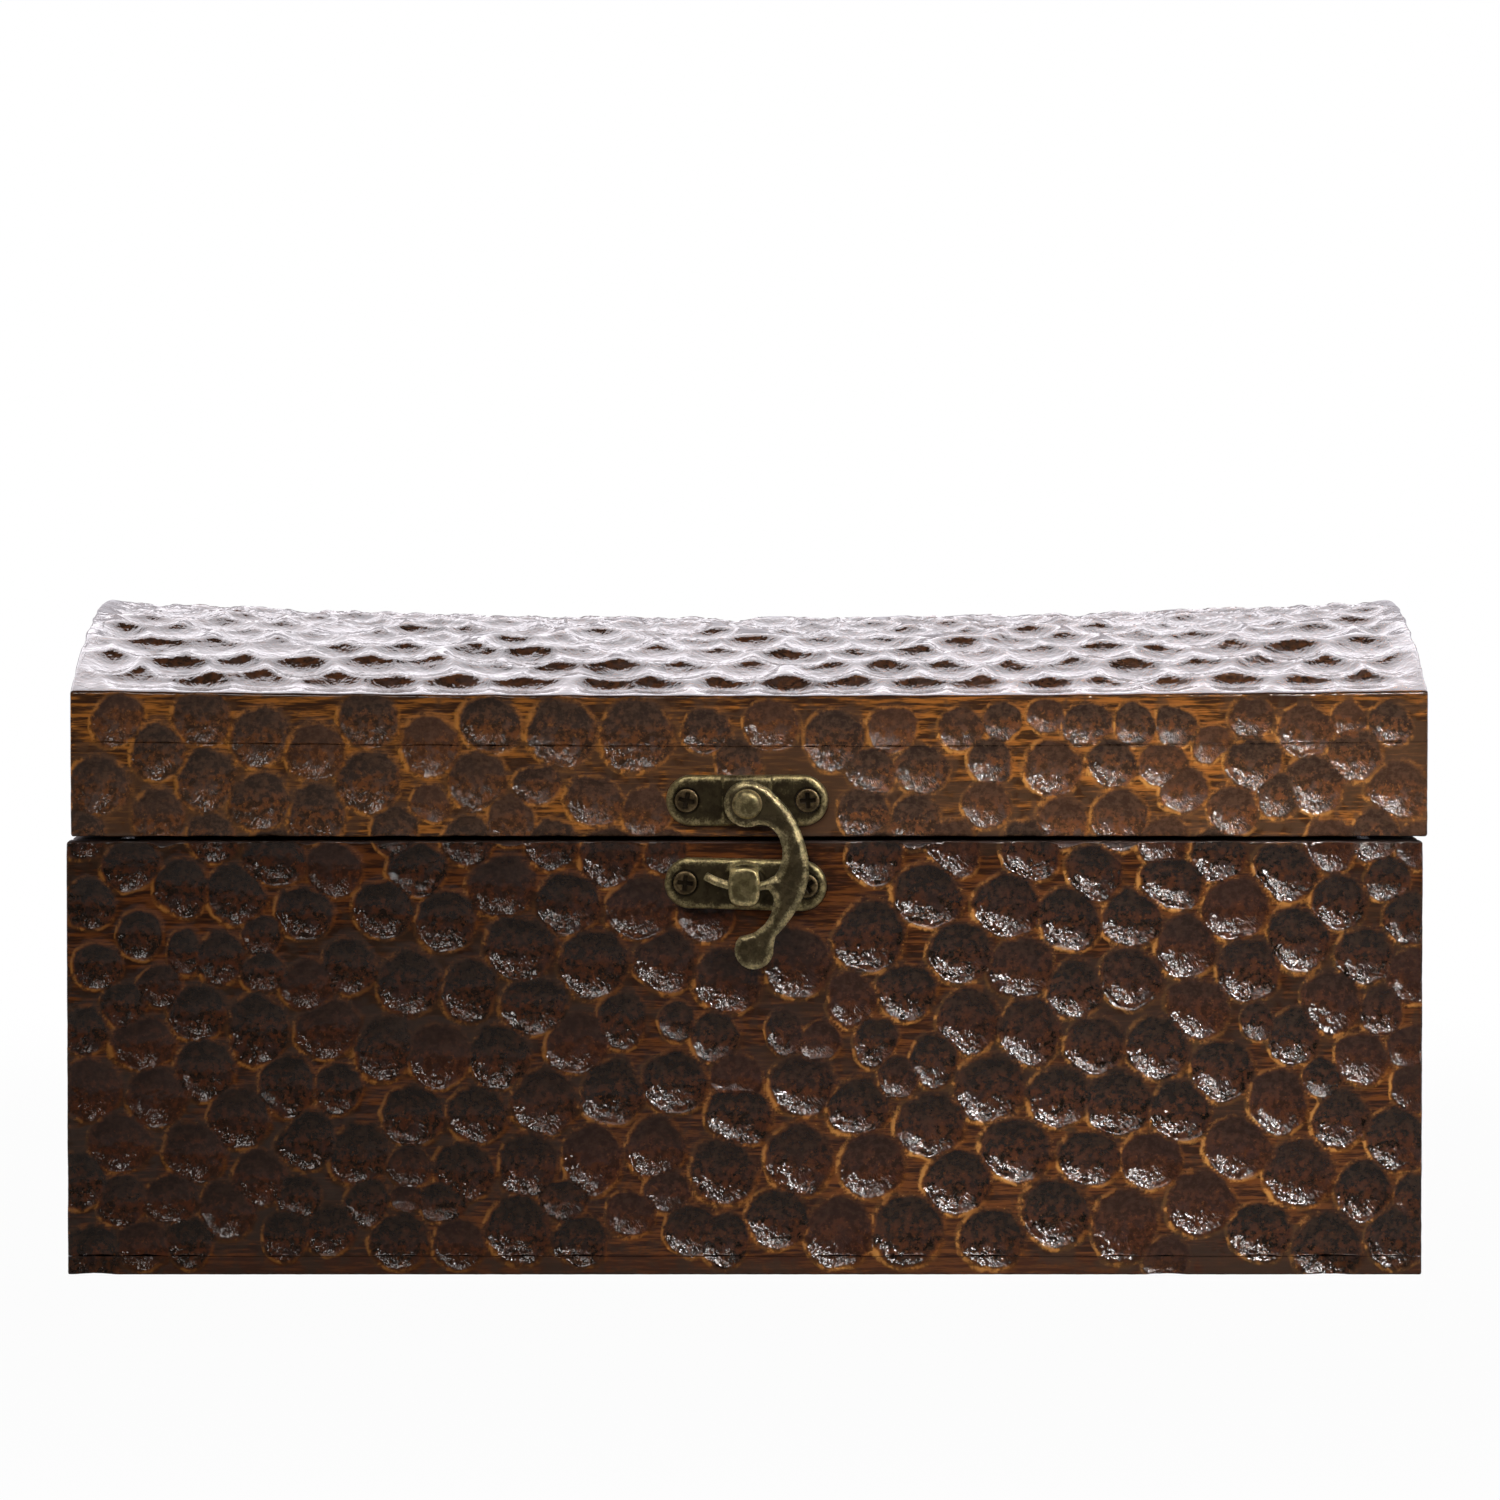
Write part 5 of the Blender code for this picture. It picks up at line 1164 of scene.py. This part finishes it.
# Rivet: a turned brass pin that the hook swings on. It goes through the hook's eye into the upper plate,
# and its head is hammered down to a low dome.
RIVET_STEPS = 72
RIVET_HEAD_RADIUS = 0.0031
RIVET_HEAD_DEPTH = 0.0014
RIVET_RADIUS = 0.0016
low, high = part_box("hook_rivet")
head_back = low[1] + RIVET_HEAD_DEPTH
profile = [(RIVET_HEAD_RADIUS * share, head_back - (head_back - low[1]) * (1 - share ** 2.7) ** 0.62)
           for share in (0.04, *np.linspace(0.1, 0.9, 17), 0.94, 0.97, 0.99, 1.0)]
profile += [(RIVET_RADIUS, head_back), (RIVET_RADIUS, high[1])]
shape = skinned([[(pivot.x + r * c, y, pivot.z + r * s) for c, s in circle(RIVET_STEPS)] for r, y in profile])
mesh = close_up(shape, bpy.data.meshes.new("rivet"))
spread = np.array([math.hypot(v.co.x - pivot.x, v.co.z - pivot.z) for v in mesh.vertices])
keep_finish(mesh, pale_brass, 0.35 + 0.5 * smooth_step(spread, 0.0024, 0.0031))
add_piece(mesh, "hammered_rivet", "lid", ("hook_rivet",), 50)


# Wood screws, alike, each with a countersunk head and a cross recess. They are set by Geometry Nodes at
# the places of the plain ones, each turned its own way, as a screwdriver leaves them.
SCREW_STEPS = 80
SCREW_SHANK_RADIUS = 0.0010
SCREW_HEAD_DEPTH = 0.0013
SCREW_HEAD_DOME = 0.0002
SCREW_LENGTH = 0.0085
SCREW_TIP = 0.0012
CROSS_SPAN = 0.0034
CROSS_WIDTH = 0.00100
CROSS_DEPTH = 0.0008
CROSS_EDGE = (-0.00006, 0.00010)
HEAD_CHAMFER = 0.00008


def head_point(x, y, r):
    """A point of the screw's head: a low dome with a cross sunk in it, deepest at the middle."""
    wide, tall = abs(x), abs(y)
    arm = min(max(wide - CROSS_SPAN / 2, tall - CROSS_WIDTH / 2),
              max(tall - CROSS_SPAN / 2, wide - CROSS_WIDTH / 2))
    recess = float(smooth_step(-arm, *CROSS_EDGE))
    slope = 1 - 0.55 * min(1.0, math.hypot(x, y) / (CROSS_SPAN / 2))
    edge = SCREW_HEAD_DOME * (1 - (r / SCREW_HEAD_RADIUS) ** 2) - HEAD_CHAMFER * (r > 0.00232)
    return (x, y, edge - CROSS_DEPTH * slope * recess)


hoop_radii = [0.00004, *np.arange(0.0001, 0.0023, 0.0001), 0.00234, 0.00238, SCREW_HEAD_RADIUS]
rings = [[head_point(r * c, r * s, r) for c, s in circle(SCREW_STEPS)] for r in hoop_radii]
for r, z in ((SCREW_SHANK_RADIUS, -SCREW_HEAD_DEPTH), (SCREW_SHANK_RADIUS, -SCREW_LENGTH),
             (0.0001, -SCREW_LENGTH - SCREW_TIP)):
    rings.append([(r * c, r * s, z) for c, s in circle(SCREW_STEPS)])
screw_mesh = close_up(skinned(rings), bpy.data.meshes.new("wood_screw"))
screw_points = np.array([vertex.co for vertex in screw_mesh.vertices])
screw_spread = np.hypot(screw_points[:, 0], screw_points[:, 1])
keep_number(screw_mesh, "wear", 0.35 + 0.6 * smooth_step(screw_spread, 0.0018, 0.0023))
# Painted shade, partly grime: the cross recess and everything below the head's face are darkened.
keep_number(screw_mesh, "grime_and_shade", smooth_step(-screw_points[:, 2], 0.00005, 0.0003))
screw_mesh.shade_smooth()
wood_screw = bpy.data.objects.new("wood_screw", screw_mesh)

setting, given = new_tree("set_screws", {
    "Geometry": ["Geometry"], "Object": ["Screw"], "Material": ["Finish"],
}, {"Geometry": ["Geometry"]})
pattern = get(setting, "GeometryNodeObjectInfo", "Geometry", {"Object": given["Screw"]})
turned = get(setting, "FunctionNodeEulerToRotation", 0, {0: named(setting, "turn", "FLOAT_VECTOR")})
placed = get(setting, "GeometryNodeInstanceOnPoints", 0,
             {"Points": given["Geometry"], "Instance": pattern, "Rotation": turned})
end_tree(setting, placed, given["Finish"])

SCREW_TURNS = {
    "hook_plate_left_screw": -12, "hook_plate_right_screw": 3,
    "keeper_left_screw": -6, "keeper_right_screw": 35,
    "left_hinge_body_left_screw": 20, "left_hinge_body_right_screw": -28,
    "left_hinge_lid_left_screw": 8, "left_hinge_lid_right_screw": 40,
    "right_hinge_body_left_screw": -15, "right_hinge_body_right_screw": 31,
    "right_hinge_lid_left_screw": -38, "right_hinge_lid_right_screw": 11,
}
for body in ("base", "lid"):
    chosen = [name for name in SCREW_TURNS
              if (name.startswith("keeper") or "_body_" in name) == (body == "base")]
    spots, turns = [], []
    for name in chosen:
        low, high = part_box(name)
        forward = -1 if "hinge" in name else 1
        rim_y = low[1] + SCREW_HEAD_DOME if forward == 1 else high[1] - SCREW_HEAD_DOME
        spots.append(((low[0] + high[0]) / 2, rim_y, (low[2] + high[2]) / 2))
        turns.append((forward * math.pi / 2, math.radians(SCREW_TURNS[name]) * -forward, 0))
    mesh = bpy.data.meshes.new("screw_places")
    mesh.from_pydata(spots, [], [])
    mesh.attributes.new("turn", "FLOAT_VECTOR", "POINT").data.foreach_set("vector", np.ravel(turns))
    made = grown(mesh, setting, {"Screw": wood_screw, "Finish": screw_brass})
    add_piece(made, body + "_wood_screws", body, chosen)


size = {"cad": [list(corner) for corner in cad_box], "visual": [list(corner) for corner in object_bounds()]}
